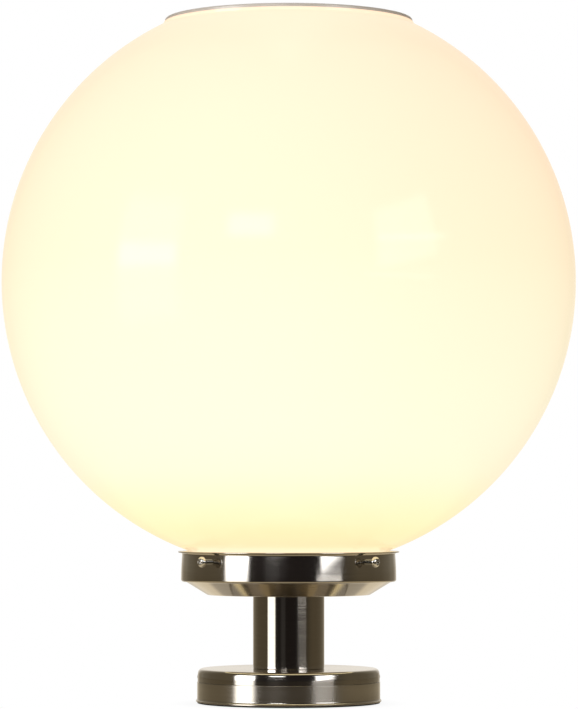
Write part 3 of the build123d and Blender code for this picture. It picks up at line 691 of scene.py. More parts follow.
def moulded_grain():
    """Surface of a moulding: slow mottling of the colour under a fine pebble that roughens the gloss."""
    name = "Moulded grain"
    if name in bpy.data.node_groups:
        return bpy.data.node_groups[name]
    inputs = [
        ("Color", "Color", (0.5, 0.5, 0.5, 1.0)),
        ("Grain", "Float", 2600.0),
        ("Mottle", "Float", 0.06),
        ("Least Roughness", "Float", 0.35),
        ("Most Roughness", "Float", 0.5),
    ]
    tree, given, result = new_group(name, inputs)
    place = object_place(tree)
    pebble = noise(tree, place, scale=given.outputs["Grain"])
    cloud = noise(tree, place, scale=45.0, detail=3.0)
    swing = maths(tree, "MULTIPLY", maths(tree, "SUBTRACT", cloud, 0.5), given.outputs["Mottle"])
    tone = maths(tree, "ADD", maths(tree, "MULTIPLY", swing, 2.0), 1.0)
    tinted = scaled(tree, given.outputs["Color"], tone)
    rough = from_noise(tree, pebble, given.outputs["Least Roughness"], given.outputs["Most Roughness"])
    feed(tree, result, {"Color": tinted, "Roughness": rough, "Height": pebble})
    return tree


# Finishes

METALS = {  # material, colour, turning marks a metre, least and most roughness, brushing
    "stainless": ("Stainless", "steel", 2200.0, 0.09, 0.13, 0.6),
    "polished_stem": ("Polished stem", "steel", 2200.0, 0.055, 0.09, 0.3),
    "satin_foot": ("Satin foot", "steel", 2200.0, 0.16, 0.21, 0.4),
    "polished_steel": ("Polished steel", "screw_steel", 5200.0, 0.04, 0.08, 0.0),
    "plated_steel": ("Plated steel", "plated_steel", 3600.0, 0.25, 0.38, 0.0),
    "contact_metal": ("Spring contact", "contact", 3000.0, 0.18, 0.28, 0.0),
}
MOULDINGS = {  # material, colour, least and most roughness, mottling, bump
    "rubber": ("Rubber", "rubber", 0.6, 0.8, 0.15, 0.3),
    "bush_plastic": ("Bush", "bush", 0.4, 0.55),
    "panel_board": ("Laminate", "laminate", 0.3, 0.45, 0.2),
    "ribbon": ("Tinned ribbon", "ribbon", 0.35, 0.5),
    "light_board": ("Light board", "light_board", 0.3, 0.45),
    "light_chip": ("Light chip", "light_chip", 0.25, 0.4),
    "holder_plastic": ("Holder", "holder", 0.4, 0.55, 0.15),
    "cell_wrap": ("Cell wrap", "cell_wrap", 0.2, 0.32),
    "circuit_board": ("Circuit board", "circuit_board", 0.28, 0.42, 0.2),
    "lead_insulation": ("Lead insulation", "lead", 0.35, 0.5),
    "button_plastic": ("Button", "button", 0.4, 0.55, 0.15),
}
GLOW_STOPS = (  # share of the globe's height, colour of its light there
    # lamp's light with a painted reflection where the neck enters the gallery
    (0.046, "glow_and_reflection_at_seat"),
    (0.058, "glow_neck"),
    (0.10, "glow_low"),
    (0.19, "glow_middle"),
    (0.36, "glow_middle"),
    (0.56, "glow_upper"),
    (0.92, "glow_top"),
)


def new_material(name):
    """New material; returns it with its tree and its Principled shader."""
    material = bpy.data.materials.new(name)
    material.use_nodes = True
    return material, material.node_tree, material.node_tree.nodes["Principled BSDF"]


def opaque(colour_name):
    """Colour of a finish by its name, with full alpha."""
    return (*getattr(sizes("colours"), colour_name), 1.0)


def link_group(tree, shader, group, values, bump):
    """Places a shared group in a material and feeds its colour, roughness and height to the shader."""
    node = add_node(tree, "ShaderNodeGroup", values, node_tree=group)
    inputs = {
        "Base Color": node.outputs["Color"],
        "Roughness": node.outputs["Roughness"],
        "Normal": bump_normal(tree, node.outputs["Height"], bump, MARK_DEPTH),
    }
    feed(tree, shader, inputs)


def turned_metal(name, colour_name, lines, least, most, brushed):
    """Metal with turning marks; brushed spreads its reflections across the marks."""
    material, tree, shader = new_material(name)
    around = add_node(tree, "ShaderNodeTangent", direction_type="RADIAL", axis="Z").outputs["Tangent"]
    inputs = {
        "Metallic": 1.0,
        "Anisotropic": brushed,
        "Anisotropic Rotation": 0.25,
        "Tangent": around,
    }
    feed(tree, shader, inputs)
    values = {
        "Lines": lines,
        "Least Roughness": least,
        "Most Roughness": most,
        "Color": opaque(colour_name),
    }
    link_group(tree, shader, turning_marks(), values, bump=0.06)
    return material, tree, shader


def moulding(name, colour_name, least, most, mottle=0.06, bump=0.12, grain=2600.0):
    """Moulded plastic or rubber."""
    material, tree, shader = new_material(name)
    values = {
        "Color": opaque(colour_name),
        "Grain": grain,
        "Mottle": mottle,
        "Least Roughness": least,
        "Most Roughness": most,
    }
    link_group(tree, shader, moulded_grain(), values, bump)
    return material, tree, shader


def screw_finish():
    """Polished steel whose thread, inside the radius of the head's seat, is darkened as painted shade."""
    size = sizes("screw")
    material, tree, shader = turned_metal("Set screw", *METALS["polished_steel"][1:])
    seat = frame_reach("set_screw_1", level_heading(SCREW_ANGLES[0]))[1] - size.head_height
    flat = vector_maths(tree, "MULTIPLY", object_place(tree), (1.0, 1.0, 0.0))
    # painted shade: darkens the thread's colour inside the radius of the head's seat
    shade = remap(tree, vector_length(tree, flat), seat - size.painted_shade_edge, seat, size.painted_thread_shade, 1.0)
    unshaded_colour = shader.inputs["Base Color"].links[0].from_socket
    feed(tree, shader, {"Base Color": scaled(tree, unshaded_colour, shade)})
    return material


def opal_finish():
    """Lit opal under a clear gloss: the light's colour follows the height, with a slow unevenness; where the
    neck enters the gallery the lamp's light is paler with a painted reflection.
    """
    material, tree, shader = new_material("Opal globe")
    tints = sizes("colours")
    low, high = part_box("globe")
    place = object_place(tree)
    height = split(tree, place)["Z"]
    cloud = noise(tree, place, scale=7.0)
    sway = maths(tree, "MULTIPLY", maths(tree, "SUBTRACT", cloud, 0.5), 0.03)
    share = maths(tree, "ADD", remap(tree, height, low.z, high.z, 0.0, 1.0), sway)
    stops = [(position, getattr(tints, name)) for position, name in GLOW_STOPS]
    inputs = {
        "Base Color": scaled(tree, tuple(tints.opal_body), from_noise(tree, cloud, 0.97, 1.03)),
        "Emission Color": colour_ramp(tree, share, stops),
        "Emission Strength": 1.0,
        "Roughness": 0.4,
        "Specular IOR Level": 0.0,
        "Coat Weight": 0.4,
        "Coat Roughness": 0.07,
        "Coat IOR": 1.5,
    }
    feed(tree, shader, inputs)
    return material


def rim_finish():
    """Satin silver-grey plastic."""
    material, tree, shader = moulding("Satin rim", "rim", 0.22, 0.32, mottle=0.05, bump=0.05)
    feed(tree, shader, {"Specular IOR Level": 0.75})
    return material


def window_finish():
    """Clear window with a faint waviness."""
    material, tree, shader = new_material("Clear window")
    wave = noise(tree, object_place(tree), scale=60.0, detail=1.0)
    inputs = {
        "Base Color": opaque("window"),
        "Roughness": from_noise(tree, wave, 0.015, 0.04),
        "Normal": bump_normal(tree, wave, strength=0.03, depth=0.0001),
        "Transmission Weight": 1.0,
        "IOR": 1.47,
    }
    feed(tree, shader, inputs)
    return material


def cell_finish():
    """Silicon: blue that shifts from crystal to crystal, with thin printed fingers across each strip."""
    material, tree, shader = new_material("Solar cell")
    size = sizes("head")
    place = object_place(tree)
    crystal = add_node(tree, "ShaderNodeTexVoronoi", {"Vector": place, "Scale": 320.0}).outputs["Color"]
    shade = add_node(tree, "ShaderNodeSeparateColor", {0: crystal}).outputs[0]
    blue = scaled(tree, tuple(sizes("colours").cell), remap(tree, shade, 0.0, 1.0, 0.75, 1.35))
    pitches = maths(tree, "DIVIDE", split(tree, place)["X"], size.finger_pitch)
    finger = maths(tree, "LESS_THAN", maths(tree, "FRACT", pitches), size.finger_share)
    tints = {"Factor": finger, COLOUR_A: blue, COLOUR_B: opaque("ribbon")}
    mixed = add_node(tree, "ShaderNodeMix", tints, data_type="RGBA").outputs[COLOUR_RESULT]
    feed(tree, shader, {"Base Color": mixed, "Roughness": remap(tree, shade, 0.0, 1.0, 0.18, 0.28)})
    return material


def lens_finish():
    """Frosted diffuser, lit from behind."""
    material, tree, shader = moulding("Frosted lens", "diffuser", 0.45, 0.6, mottle=0.03, grain=1800.0)
    cloud = noise(tree, object_place(tree), scale=60.0)
    glow = scaled(tree, tuple(sizes("colours").glow_middle), from_noise(tree, cloud, 0.85, 1.0))
    feed(tree, shader, {"Emission Color": glow, "Emission Strength": 0.25})
    return material


OWN_FINISHES = {
    "opal": opal_finish,
    "set_screw": screw_finish,
    "rim_plastic": rim_finish,
    "panel_glass": window_finish,
    "solar_cell": cell_finish,
    "lens": lens_finish,
}
made_finishes = {}


def new_finish(name):
    """Material by the name of a slot, or of a finish that only some pieces of a slot have."""
    if name in OWN_FINISHES:
        return OWN_FINISHES[name]()
    if name in METALS:
        return turned_metal(*METALS[name])[0]
    return moulding(*MOULDINGS[name])[0]


def finish_of(name):
    """Material by name, made once."""
    if name not in made_finishes:
        made_finishes[name] = new_finish(name)
    return made_finishes[name]


# Operators, one for each piece or group of like pieces


class PILLARLIGHT_OT_globe(bpy.types.Operator):
    """Blown opal globe with a lipped neck, and a flat land inside a low kerb round the opening in its top"""

    bl_idname = "pillar_light.globe"
    bl_label = "Globe"

    def execute(self, context):
        size = sizes("globe")
        low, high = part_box("globe")
        outer = high.x
        inner = outer - size.wall
        neck_top = low.z + size.lip_height + size.neck_length
        centre = neck_top + sqrt(outer**2 - size.neck_radius**2)
        bore = size.neck_radius - size.wall
        lip = size.neck_radius + size.lip_width
        neck = rounded_path(
            [
                (bore, centre - sqrt(inner**2 - bore**2)),
                (bore, low.z),
                (lip, low.z),
                (lip, low.z + size.lip_height),
                (size.neck_radius, low.z + size.lip_height),
                (size.neck_radius, neck_top),
            ],
            [size.edge_round] * 4,
        )
        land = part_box("head_shell")[1].x + size.kerb_gap
        kerb = land + size.kerb_width
        at_neck = atan2(neck_top - centre, size.neck_radius)
        at_kerb = atan2(sqrt(outer**2 - kerb**2), kerb)
        outside = meridian(outer, centre, at_neck, at_kerb, OUTSIDE_RINGS)[1:]
        at_opening = atan2(sqrt(inner**2 - size.opening_radius**2), size.opening_radius)
        at_bore = atan2(-sqrt(inner**2 - bore**2), bore)
        inside = meridian(inner, centre, at_opening, at_bore, INSIDE_RINGS)[:-1]
        edge = rounded_path(
            [
                outside[-1],
                (kerb, high.z + size.kerb_height),
                (land, high.z + size.kerb_height),
                (land, high.z),
                (size.opening_radius, high.z),
            ],
            [size.kerb_outer_round, size.kerb_inner_round, size.kerb_foot_round],
        )[1:]
        new_piece("opal_globe", turned(np.concatenate([neck, outside, edge, inside])), ["globe"])
        return {"FINISHED"}


class PILLARLIGHT_OT_gallery(bpy.types.Operator):
    """Spun gallery: floor, cone, step, leaning wall, rolled lip, and a collar inside for each set screw"""

    bl_idname = "pillar_light.gallery"
    bl_label = "Gallery"

    def execute(self, context):
        size = sizes("stand")
        screw = sizes("screw")
        low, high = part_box("gallery")
        lip_z = high.z - size.gallery_sheet
        mouth = high.x - size.gallery_lip
        wall = mouth + size.gallery_lean
        cone = wall - size.gallery_step
        step_z = low.z + size.gallery_rise
        share = np.linspace(0.1, 0.9, WALL_RINGS)  # of the wall's height, clear of the bends at its ends
        swell = wall + (mouth - wall) * share + 4 * size.gallery_bow * share * (1 - share)
        side = np.stack([swell, step_z + (lip_z - step_z) * share], axis=1)
        path = rounded_path(
            [
                (size.rod_hole, low.z),
                (cone - size.gallery_cone, low.z),
                (cone, step_z),
                (wall, step_z),
                *side,
                (mouth, lip_z),
                (high.x - size.gallery_sheet / 2, lip_z),
            ],
            [size.floor_bend, size.step_bend, size.corner_bend, *[0.0] * len(side), size.lip_bend],
        )
        surfaces = [turned(sheet_profile(path, size.gallery_sheet))]
        screw_low, screw_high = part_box("set_screw_1")
        origin = (0.0, 0.0, (screw_low.z + screw_high.z) / 2)
        start = sizes("globe").neck_radius + sizes("globe").lip_width + size.collar_gap
        end = mouth - size.gallery_sheet / 4
        bore = screw.radius + screw.clearance
        outer = bore + size.collar_wall
        collar = rounded_path(
            [(bore, start), (outer, start), (outer, end), (bore, end)],
            [size.edge_round / 2, size.edge_round / 2, 0.0, 0.0],
            closed=True,
        )
        for angle in SCREW_ANGLES:
            surfaces.append(along_axis(turned(collar, sectors=48), origin, level_heading(angle)))
        new_piece("spun_gallery", joined(surfaces), ["gallery"])
        return {"FINISHED"}


class PILLARLIGHT_OT_set_screws(bpy.types.Operator):
    """Polished set screws: a thread through the gallery's wall and a domed head with a cross recess"""

    bl_idname = "pillar_light.set_screws"
    bl_label = "Set screws"

    def execute(self, context):
        size = sizes("screw")
        head = cross_head(size.head_height)
        for number, angle in enumerate(SCREW_ANGLES, 1):
            node = f"set_screw_{number}"
            low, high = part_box(node)
            heading = level_heading(angle)
            tip, end = frame_reach(node, heading)
            seat = end - size.head_height
            rod = threaded_rod(size.radius, size.thread_depth, size.pitch, seat - tip + size.head_height / 3)
            origin = np.array((0.0, 0.0, (low.z + high.z) / 2))
            surface = joined([
                along_axis(rod, origin + heading * tip, heading),
                along_axis(head, origin + heading * seat, heading),
            ])
            new_piece(f"trap_screw_{number}", surface, [node], finish="set_screw")
        return {"FINISHED"}


class PILLARLIGHT_OT_stem(bpy.types.Operator):
    """Plain stem tube with small broken edges"""

    bl_idname = "pillar_light.stem"
    bl_label = "Stem"

    def execute(self, context):
        size = sizes("stand")
        low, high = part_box("stem_tube")
        section = ring_section(high.x - size.stem_wall, high.x, low.z, high.z, size.edge_round)
        new_piece("turned_stem", turned(section), ["stem_tube"], finish="polished_stem")
        return {"FINISHED"}


class PILLARLIGHT_OT_base(bpy.types.Operator):
    """Base: pressed canopy with its two flush screws, foot ring with a flared lip, rubber gasket"""

    bl_idname = "pillar_light.base"
    bl_label = "Base"

    def execute(self, context):
        size = sizes("stand")
        low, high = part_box("canopy")
        bend_z = low.z + (high.z - low.z) * size.canopy_bend
        cap = rounded_path(
            [
                (high.x, low.z),
                (high.x - size.canopy_low_lean, bend_z),
                (high.x - size.canopy_high_lean, high.z),
                (size.rod_hole, high.z),
            ],
            [size.canopy_bow, size.canopy_shoulder],
        )
        section = sheet_profile(cap, size.base_sheet, square_start=True)
        new_piece("pressed_canopy", turned(section), ["canopy"])
        self.foot_ring(size, high.x)
        self.canopy_screws(high.x)
        self.gasket(size)
        return {"FINISHED"}

    def foot_ring(self, size, canopy_radius):
        """Floor with its opening and pillar holes, hollow flare, wall, ledge and spigot."""
        low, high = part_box("foot_ring")
        seam = high.z - size.spigot_height
        wall = high.x - size.foot_lip
        spigot = canopy_radius - size.base_sheet - size.spigot_gap
        sheet = size.base_sheet
        flare = low.z + size.foot_lip_edge
        curve = (size.foot_lip**2 + size.foot_flare**2) / (2 * size.foot_lip)
        centre = np.array((wall + curve, flare + size.foot_flare))
        sweep = tangent_arc(np.array((high.x, flare)), centre, np.array((wall, centre[1])), CURVE_POINTS)
        floor_z = low.z + sheet
        rim = 2 * size.pillar_hole  # half the width of the ring that is pierced
        inner = size.pillar_circle - rim
        outer = size.pillar_circle + rim
        corners = [
            (outer, low.z),
            (high.x, low.z),
            *sweep,
            (wall, seam),
            (spigot, seam),
            (spigot, high.z),
            (spigot - sheet, high.z),
            (spigot - sheet, seam - sheet),
            (wall - sheet, seam - sheet),
            (wall - sheet, floor_z),
            (outer, floor_z),
        ]
        small = size.edge_round / 2
        side = rounded_path(corners, [small] + [0.0] * len(sweep) + [small / 2] * 7)
        edge = rounded_path(
            [(inner, floor_z), (size.foot_opening, floor_z), (size.foot_opening, low.z), (inner, low.z)],
            [small / 2] * 2,
        )
        pierced = pierced_ring(
            inner, outer, low.z, floor_z, size.pillar_circle, size.pillar_hole, count=3, start=pi / 2
        )
        surface = joined([turned(side, closed=False), turned(edge, closed=False), pierced])
        new_piece("turned_foot", surface, ["foot_ring"], finish="satin_foot")

    def canopy_screws(self, canopy_radius):
        """Two slotted screws, left and right, whose low heads lie in the canopy's wall."""
        size = sizes("screw")
        low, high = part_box("canopy_screws")
        centre_z = (low.z + high.z) / 2
        depth = 2 * size.radius
        recess = (size.recess_width, 4 * size.radius, size.recess_depth / 2)  # runs out at both sides
        head = screw_head(size.radius, depth, size.head_round / 3, *recess, bars=1, sectors=64)
        start = canopy_radius - depth + size.thread_depth / 2
        surfaces = [
            along_axis(head, (side * start, 0.0, centre_z), (side, 0.0, 0.0)) for side in (-1.0, 1.0)
        ]
        new_piece("canopy_pins", joined(surfaces), ["canopy_screws"])

    def gasket(self, size):
        """Flat rubber ring under the foot."""
        low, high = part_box("base_gasket")
        section = ring_section(high.x - size.gasket_width, high.x, low.z, high.z, size.edge_round / 2)
        new_piece("foot_gasket", turned(section), ["base_gasket"])


class PILLARLIGHT_OT_solar_head(bpy.types.Operator):
    """Solar head: rim, tray, deck and cup as one moulding, its seal, bottom cover, screws and button"""

    bl_idname = "pillar_light.solar_head"
    bl_label = "Solar head"

    def execute(self, context):
        size = sizes("head")
        small = size.rim_round / 3
        low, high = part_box("head_shell")
        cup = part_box("bottom_cover")[1].x
        bore = cup - size.cup_wall
        tray = high.x - size.rim_border
        board_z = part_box("solar_board")[0].z
        under_z = high.z - size.rim_thickness
        window_z = high.z - size.rim_stand - size.window_thickness
        deck_z = board_z - size.deck
        shell = rounded_path(
            [
                (0.0, deck_z),
                (bore, deck_z),
                (bore, low.z),
                (cup, low.z),
                (cup, under_z),
                (high.x - size.skirt_width, under_z),
                (high.x - size.skirt_width, under_z - size.skirt_height),
                (high.x, under_z - size.skirt_height),
                (high.x, high.z),
                (tray, high.z),
                (tray, window_z),
                (bore, window_z),
                (bore, board_z),
                (0.0, board_z),
            ],
            [small] * 4 + [0.0, 0.0, small, size.rim_round] + [small] * 4,
        )
        new_piece("solar_rim", turned(shell, closed=False), ["head_shell"])
        self.seal(size)
        self.cover(size, cup, low.z, bore - size.ring_gap)
        self.cover_screws(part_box("bottom_cover")[0].z)
        self.push_button()
        return {"FINISHED"}

    def seal(self, size):
        """Rubber ring between rim and globe."""
        low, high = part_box("head_seal")
        bend = (high.z - low.z) / 3
        section = ring_section(high.x - size.rim_thickness, high.x, low.z, high.z, bend)
        new_piece("rim_seal", turned(section), ["head_seal"])

    def cover(self, size, cup, cup_end, ring):
        """Bottom cover: a disc with a rounded edge, and a ring that locates it in the cup."""
        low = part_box("bottom_cover")[0].z
        ring_top = cup_end + size.ring_height
        path = rounded_path(
            [
                (0.0, low),
                (cup, low),
                (cup, cup_end),
                (ring, cup_end),
                (ring, ring_top),
                (ring - size.ring_wall, ring_top),
                (ring - size.ring_wall, cup_end),
                (0.0, cup_end),
            ],
            [size.floor_round] + [size.rim_round / 3] * 5,
        )
        new_piece("head_floor", turned(path, closed=False), ["bottom_cover"])

    def cover_screws(self, floor_low):
        """Three pan heads under the bottom cover, one every third of a turn."""
        size = sizes("screw")
        low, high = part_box("cover_screws")
        circle = high.y - size.head_radius
        head = cross_head(floor_low - low.z)
        surfaces = []
        for number in range(3):
            spot = circle * level_heading(radians(90 + 120 * number))
            spot[2] = floor_low
            surfaces.append(along_axis(head, spot, (0.0, 0.0, -1.0)))
        new_piece("floor_screws", joined(surfaces), ["cover_screws"])

    def push_button(self):
        """Round button with a dished face, its flange inside the cover and its stem to the switch."""
        size = sizes("head")
        low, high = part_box("switch_button")
        centre = ((low.x + high.x) / 2, (low.y + high.y) / 2)
        flange = (high.x - low.x) / 2
        cap = flange - size.button_flange
        flange_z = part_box("head_shell")[0].z
        stem = cap / 3
        dish = np.linspace(0.0, cap - 2 * size.floor_round, CURVE_POINTS)
        face = np.stack([dish, low.z + size.button_dish * (1 - (dish / dish[-1]) ** 2)], axis=1)
        side = rounded_path(
            [
                face[-1],
                (cap, low.z),
                (cap, flange_z),
                (flange, flange_z),
                (flange, flange_z + size.floor_round),
                (stem, flange_z + size.floor_round),
                (stem, high.z),
                (0.0, high.z),
            ],
            [size.floor_round] + [0.0] * 5,
        )
        profile = np.concatenate([face[:-1], side])
        new_piece("push_button", turned(profile, sectors=72, closed=False, shift=centre), ["switch_button"])


class PILLARLIGHT_OT_solar_panel(bpy.types.Operator):
    """Solar panel: clear window, laminate, strips of silicon cut to the round, and their ribbons"""

    bl_idname = "pillar_light.solar_panel"
    bl_label = "Solar panel"

    def execute(self, context):
        size = sizes("head")
        window = self.disc("panel_window", "solar_cover", size.rim_round / 3)
        window.visible_shadow = False
        self.disc("panel_laminate", "solar_board", size.rim_round / 4)
        self.cells(size)
        return {"FINISHED"}

    def disc(self, name, node, bend):
        """Round plate with a rounded edge."""
        low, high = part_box(node)
        corners = [(0.0, low.z), (high.x, low.z), (high.x, high.z), (0.0, high.z)]
        path = rounded_path(corners, [bend, bend])
        return new_piece(name, turned(path, closed=False), [node])

    def cells(self, size):
        """Strips in columns, each cut where it meets the circle, with a ribbon along its middle."""
        low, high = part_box("solar_cells")
        field = high.y + size.cell_gap / 2
        column = 2 * field / size.cell_columns
        row = 2 * field / size.cell_rows
        plates = []
        ribbons = []
        for across in range(size.cell_columns):
            left = -field + across * column + size.cell_gap / 2
            right = left + column - size.cell_gap
            for up in range(size.cell_rows):
                start = -field + up * row + size.cell_gap / 2
                depth = np.linspace(start, start + row - size.cell_gap, CELL_POINTS)
                limit = np.sqrt(np.clip(field**2 - depth**2, LEAST_REACH**2, None))
                cut_left = np.clip(left, -limit, limit - SLIVER)
                cut_right = np.clip(right, SLIVER - limit, limit)
                plates.append(strip_plate(cut_left, cut_right, depth, low.z, high.z))
                middle = start + (row - size.cell_gap) / 2
                band = np.array([middle - size.ribbon_width / 2, middle + size.ribbon_width / 2])
                edge = np.sqrt(field**2 - np.abs(band).max() ** 2) - size.ribbon_width
                lower = np.full(2, max(left + size.ribbon_width, -edge))
                upper = np.full(2, min(right - size.ribbon_width, edge))
                ribbons.append(strip_plate(lower, upper, band, high.z - size.ribbon_height, high.z))
        new_piece("panel_cells", joined(plates), ["solar_cells"])
        new_piece("panel_ribbons", joined(ribbons), ["solar_cells"], finish="ribbon")


class PILLARLIGHT_OT_light_source(bpy.types.Operator):
    """Frosted lens under the solar head, with a flange against the bottom cover"""

    bl_idname = "pillar_light.light_source"
    bl_label = "Light source"

    def execute(self, context):
        size = sizes("head")
        low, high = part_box("led_lens")
        side = high.x - size.lens_flange
        path = rounded_path(
            [
                (0.0, low.z),
                (side, low.z),
                (side, high.z - size.lens_wall),
                (high.x - size.lens_wall / 2, high.z - size.lens_wall),
            ],
            [size.lens_bend, size.lens_wall],
        )
        section = sheet_profile(path, size.lens_wall, square_start=True)
        new_piece("diffuser", turned(section, closed=False), ["led_lens"])
        return {"FINISHED"}


class PILLARLIGHT_OT_inner_parts(bpy.types.Operator):
    """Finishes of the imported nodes; fasteners, bushes, seat, battery and electronics keep their shape"""

    bl_idname = "pillar_light.inner_parts"
    bl_label = "Inner parts"

    def execute(self, context):
        for name, node in frame["nodes"].items():
            node.data.materials.clear()
            node.data.materials.append(finish_of(NODE_SLOT[name]))
        return {"FINISHED"}


# Studio; turn is in degrees from the front towards +X, lift in degrees above the horizon

FLOOR_REACH = 30.0
FLOOR_Z = -0.0004  # just below the light's underside
FLOOR_GLOW = (1.0, 0.83, 0.53, 1.0)
FLOOR_TINT = (0.85, 0.82, 0.76, 1.0)
WHITE = (1.0, 1.0, 1.0, 1.0)
BACKDROP = (  # share of the half turn from front to back, light from there
    (0.0, (0.016, 0.0132, 0.0125)),
    (0.27, (0.032, 0.027, 0.022)),
    (0.42, (0.098, 0.080, 0.052)),
    (0.58, (0.115, 0.094, 0.062)),
    (0.68, (0.140, 0.118, 0.082)),
    (0.78, (0.21, 0.185, 0.14)),
    (0.87, (0.36, 0.325, 0.265)),
    (0.965, (0.85, 0.80, 0.72)),
)
SOFTBOXES = (  # setting, share of it, turn and lift as (from, to, softness), slope
    ("left_box", 0.35, (-71.0, -44.5, 3.0), (-14.0, 27.0, 5.0), 0.0),
    ("left_box", 0.85, (-70.0, -45.0, 3.0), (4.0, 11.5, 2.5), 0.0),
    ("right_box", 1.0, (35.0, 60.5, 2.5), (3.0, 24.0, 1.7), 0.2),
    ("right_box", 1.0, (36.0, 65.0, 2.0), (12.6, 14.8, 0.7), 0.0),
    ("right_box", 0.7, (30.0, 58.0, 2.0), (-0.9, 0.7, 0.4), 0.0),
    ("right_box", 0.5, (36.0, 58.0, 2.0), (2.62, 2.9, 0.1), 0.0),
    ("faint_box", 0.12, (27.0, 60.0, 5.0), (-6.0, -3.0, 0.6), 0.0),
    ("faint_box", 0.05, (27.0, 60.0, 5.0), (-2.6, -1.2, 0.5), 0.0),
    ("faint_box", 0.025, (-25.0, -11.0, 4.0), (-50.0, 50.0, 9.0), 0.0),
    ("faint_box", 0.5, (35.0, 58.0, 2.0), (-3.4, -3.0, 0.15), 0.0),
    ("small_box", 1.0, (-24.0, -6.0, 3.0), (14.5, 23.0, 2.5), 0.0),
)
SLOPE_TURN = 37.0  # turn at which a sloping softbox has the lift that its row gives
FILL_SIZE = 1.6
FILL_PLACE = Vector((-0.3, -1.25, 1.5))
FILL_AIM = Vector((0.0, 0.0, 0.3))
SENSOR_WIDTH = 36.0  # in millimetres


def facing(place, aim):
    """Rotation of a camera or a light at one place that points at another."""
    return (aim - place).to_track_quat("-Z", "Y").to_euler()


class PILLARLIGHT_OT_stage(bpy.types.Operator):
    """Plain pale floor, soft studio light and the camera"""

    bl_idname = "pillar_light.stage"
    bl_label = "Stage"

    def execute(self, context):
        studio = sizes("studio")
        context.scene.view_settings.view_transform = "Standard"
        self.floor()
        self.surroundings(studio)
        self.fill_light(studio)
        camera_data = bpy.data.cameras.new("camera")
        camera_data.lens = studio.lens
        camera_data.sensor_width = SENSOR_WIDTH
        camera = bpy.data.objects.new("camera", camera_data)
        camera.location = (studio.side_step, -studio.distance, studio.eye_height)
        camera.rotation_euler = facing(camera.location, Vector((studio.side_step, 0.0, studio.aim_height)))
        context.scene.collection.objects.link(camera)
        context.scene.camera = camera
        return {"FINISHED"}

    def floor(self):
        """Wide plane, open from below."""
        mesh = bpy.data.meshes.new("floor")
        corners = ((-1, -1), (1, -1), (1, 1), (-1, 1))
        points = [(FLOOR_REACH * across, FLOOR_REACH * along, FLOOR_Z) for across, along in corners]
        mesh.from_pydata(points, [], [(0, 1, 2, 3)])
        floor = bpy.data.objects.new("floor", mesh)
        bpy.context.scene.collection.objects.link(floor)
        mesh.materials.append(self.floor_finish())

    def floor_finish(self):
        """White with a soft contact shade to the camera; clear with a warm glow to reflections."""
        material = bpy.data.materials.new("Floor")
        material.use_nodes = True
        tree = material.node_tree
        tree.nodes.clear()
        shade = add_node(tree, "ShaderNodeAmbientOcclusion", {"Distance": 0.016}, samples=12)
        pale = remap(tree, shade.outputs["AO"], 0.0, 1.0, 0.88, 1.0)
        seen = add_node(tree, "ShaderNodeEmission", {"Color": pale})
        lit = self.floor_glow(tree)
        glow = add_node(tree, "ShaderNodeEmission", {"Color": FLOOR_GLOW, "Strength": lit})
        clear = add_node(tree, "ShaderNodeBsdfTransparent", {"Color": FLOOR_TINT})
        reflected = add_node(tree, "ShaderNodeAddShader", {0: clear.outputs[0], 1: glow.outputs[0]})
        above = by_ray(tree, seen.outputs[0], reflected.outputs[0])
        below = add_node(tree, "ShaderNodeBsdfTransparent").outputs[0]
        under = add_node(tree, "ShaderNodeNewGeometry").outputs["Backfacing"]
        add_node(tree, "ShaderNodeOutputMaterial", {"Surface": mix_shader(tree, under, above, below)})
        return material

    def floor_glow(self, tree):
        """Strength of the glow: a ring round the light where the view is steep, and a faint disc."""
        place = object_place(tree)
        spread = vector_length(tree, place)
        grazing = add_node(tree, "ShaderNodeLayerWeight", {"Blend": 0.5}).outputs["Facing"]
        ring_start = soft_step(tree, spread, 0.08, 0.1)
        ring_end = soft_step(tree, spread, 0.2, 0.29, 1.0, 0.0)
        steep = maths(tree, "MULTIPLY", ring_start, remap(tree, grazing, 0.35, 0.9, 0.42, 0.0))
        ring = maths(tree, "MULTIPLY", ring_end, steep)
        round_disc = soft_step(tree, spread, 0.115, 0.165, 0.054, 0.098)
        right_side = soft_step(tree, split(tree, place)["X"], 0.09, 0.17, 0.0, 0.09)
        disc_end = soft_step(tree, spread, 0.185, 0.255, 1.0, 0.0)
        disc = maths(tree, "MULTIPLY", maths(tree, "ADD", round_disc, right_side), disc_end)
        return maths(tree, "ADD", ring, disc)

    def surroundings(self, studio):
        """World by direction: dark in front and pale behind, with softboxes; white to the camera."""
        world = bpy.data.worlds.new("studio")
        bpy.context.scene.world = world
        world.use_nodes = True
        tree = world.node_tree
        tree.nodes.clear()
        way = split(tree, add_node(tree, "ShaderNodeTexCoord").outputs["Generated"])
        ahead = maths(tree, "MULTIPLY", way["Y"], -1.0)
        turn = maths(tree, "DEGREES", maths(tree, "ARCTAN2", way["X"], ahead))
        lift = maths(tree, "DEGREES", maths(tree, "ARCSINE", way["Z"]))
        backward = maths(tree, "DIVIDE", maths(tree, "ABSOLUTE", turn), 180.0)
        light = colour_ramp(tree, backward, BACKDROP)
        for setting, share, turn_span, lift_span, slope in SOFTBOXES:
            rise = lift
            if slope:
                past = maths(tree, "SUBTRACT", turn, SLOPE_TURN)
                rise = maths(tree, "SUBTRACT", lift, maths(tree, "MULTIPLY", past, slope))
            across = self.window(tree, turn, *turn_span)
            up = self.window(tree, rise, *lift_span)
            mask = maths(tree, "MULTIPLY", across, up)
            shine = maths(tree, "MULTIPLY", mask, share * getattr(studio, setting))
            light = vector_maths(tree, "ADD", light, shine)
        around = add_node(tree, "ShaderNodeBackground", {"Color": light}).outputs[0]
        plain = add_node(tree, "ShaderNodeBackground", {"Color": WHITE}).outputs[0]
        add_node(tree, "ShaderNodeOutputWorld", {"Surface": by_ray(tree, plain, around)})

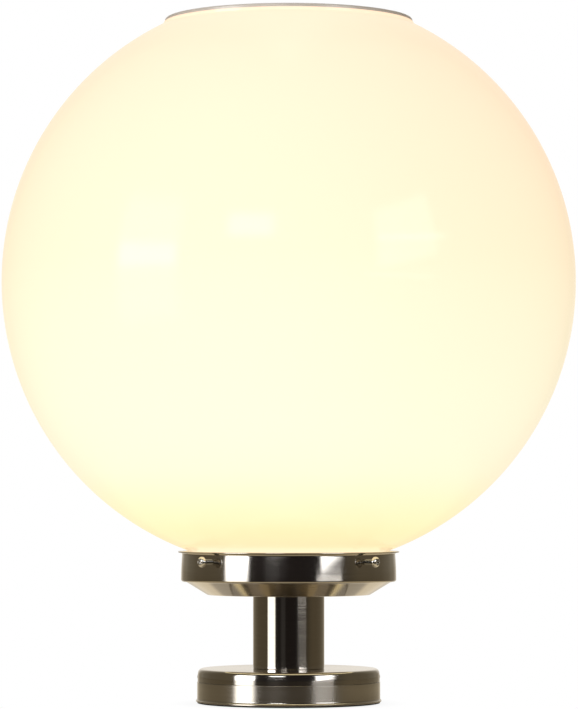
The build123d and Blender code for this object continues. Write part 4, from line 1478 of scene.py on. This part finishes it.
    def window(self, tree, angle, low, high, soft):
        """1 between two angles and 0 outside, with soft edges."""
        rise = soft_step(tree, angle, low - soft, low + soft)
        fall = soft_step(tree, angle, high - soft, high + soft, 1.0, 0.0)
        return maths(tree, "MULTIPLY", rise, fall)

    def fill_light(self, studio):
        """Large overhead light that mirrors don't show."""
        data = bpy.data.lights.new("fill", "AREA")
        data.shape = "DISK"
        data.size = FILL_SIZE
        data.energy = studio.fill
        light = bpy.data.objects.new("fill", data)
        light.location = FILL_PLACE
        light.rotation_euler = facing(FILL_PLACE, FILL_AIM)
        light.visible_glossy = False
        bpy.context.scene.collection.objects.link(light)


class PILLARLIGHT_PT_panel(bpy.types.Panel):
    """Sidebar panel that lists the light's operators"""

    bl_idname = "PILLARLIGHT_PT_panel"
    bl_label = "Pillar Light"
    bl_space_type = "VIEW_3D"
    bl_region_type = "UI"
    bl_category = "Pillar Light"

    def draw(self, context):
        for operator in OPERATORS:
            self.layout.operator(operator.bl_idname)


GROUPS = {
    "stand": StandSizes,
    "screw": ScrewSizes,
    "globe": GlobeSizes,
    "head": HeadSizes,
    "colours": FinishColours,
    "studio": StudioSettings,
}
OPERATORS = (
    PILLARLIGHT_OT_stage,
    PILLARLIGHT_OT_inner_parts,
    PILLARLIGHT_OT_globe,
    PILLARLIGHT_OT_gallery,
    PILLARLIGHT_OT_set_screws,
    PILLARLIGHT_OT_stem,
    PILLARLIGHT_OT_base,
    PILLARLIGHT_OT_solar_head,
    PILLARLIGHT_OT_solar_panel,
    PILLARLIGHT_OT_light_source,
)
CLASSES = (*GROUPS.values(), *OPERATORS, PILLARLIGHT_PT_panel)


def register():
    """Registers the classes and hangs the property groups on the scene."""
    for item in CLASSES:
        bpy.utils.register_class(item)
    for name, group in GROUPS.items():
        setattr(bpy.types.Scene, "pillar_light_" + name, PointerProperty(type=group))


def unregister():
    """Takes the property groups off the scene and unregisters the classes."""
    for name in GROUPS:
        delattr(bpy.types.Scene, "pillar_light_" + name)
    for item in reversed(CLASSES):
        bpy.utils.unregister_class(item)


def main():
    """Builds the light and its stage."""
    register()
    for operator in OPERATORS:
        section, action = operator.bl_idname.split(".")
        getattr(getattr(bpy.ops, section), action)()


if __name__ == "__main__":
    main()
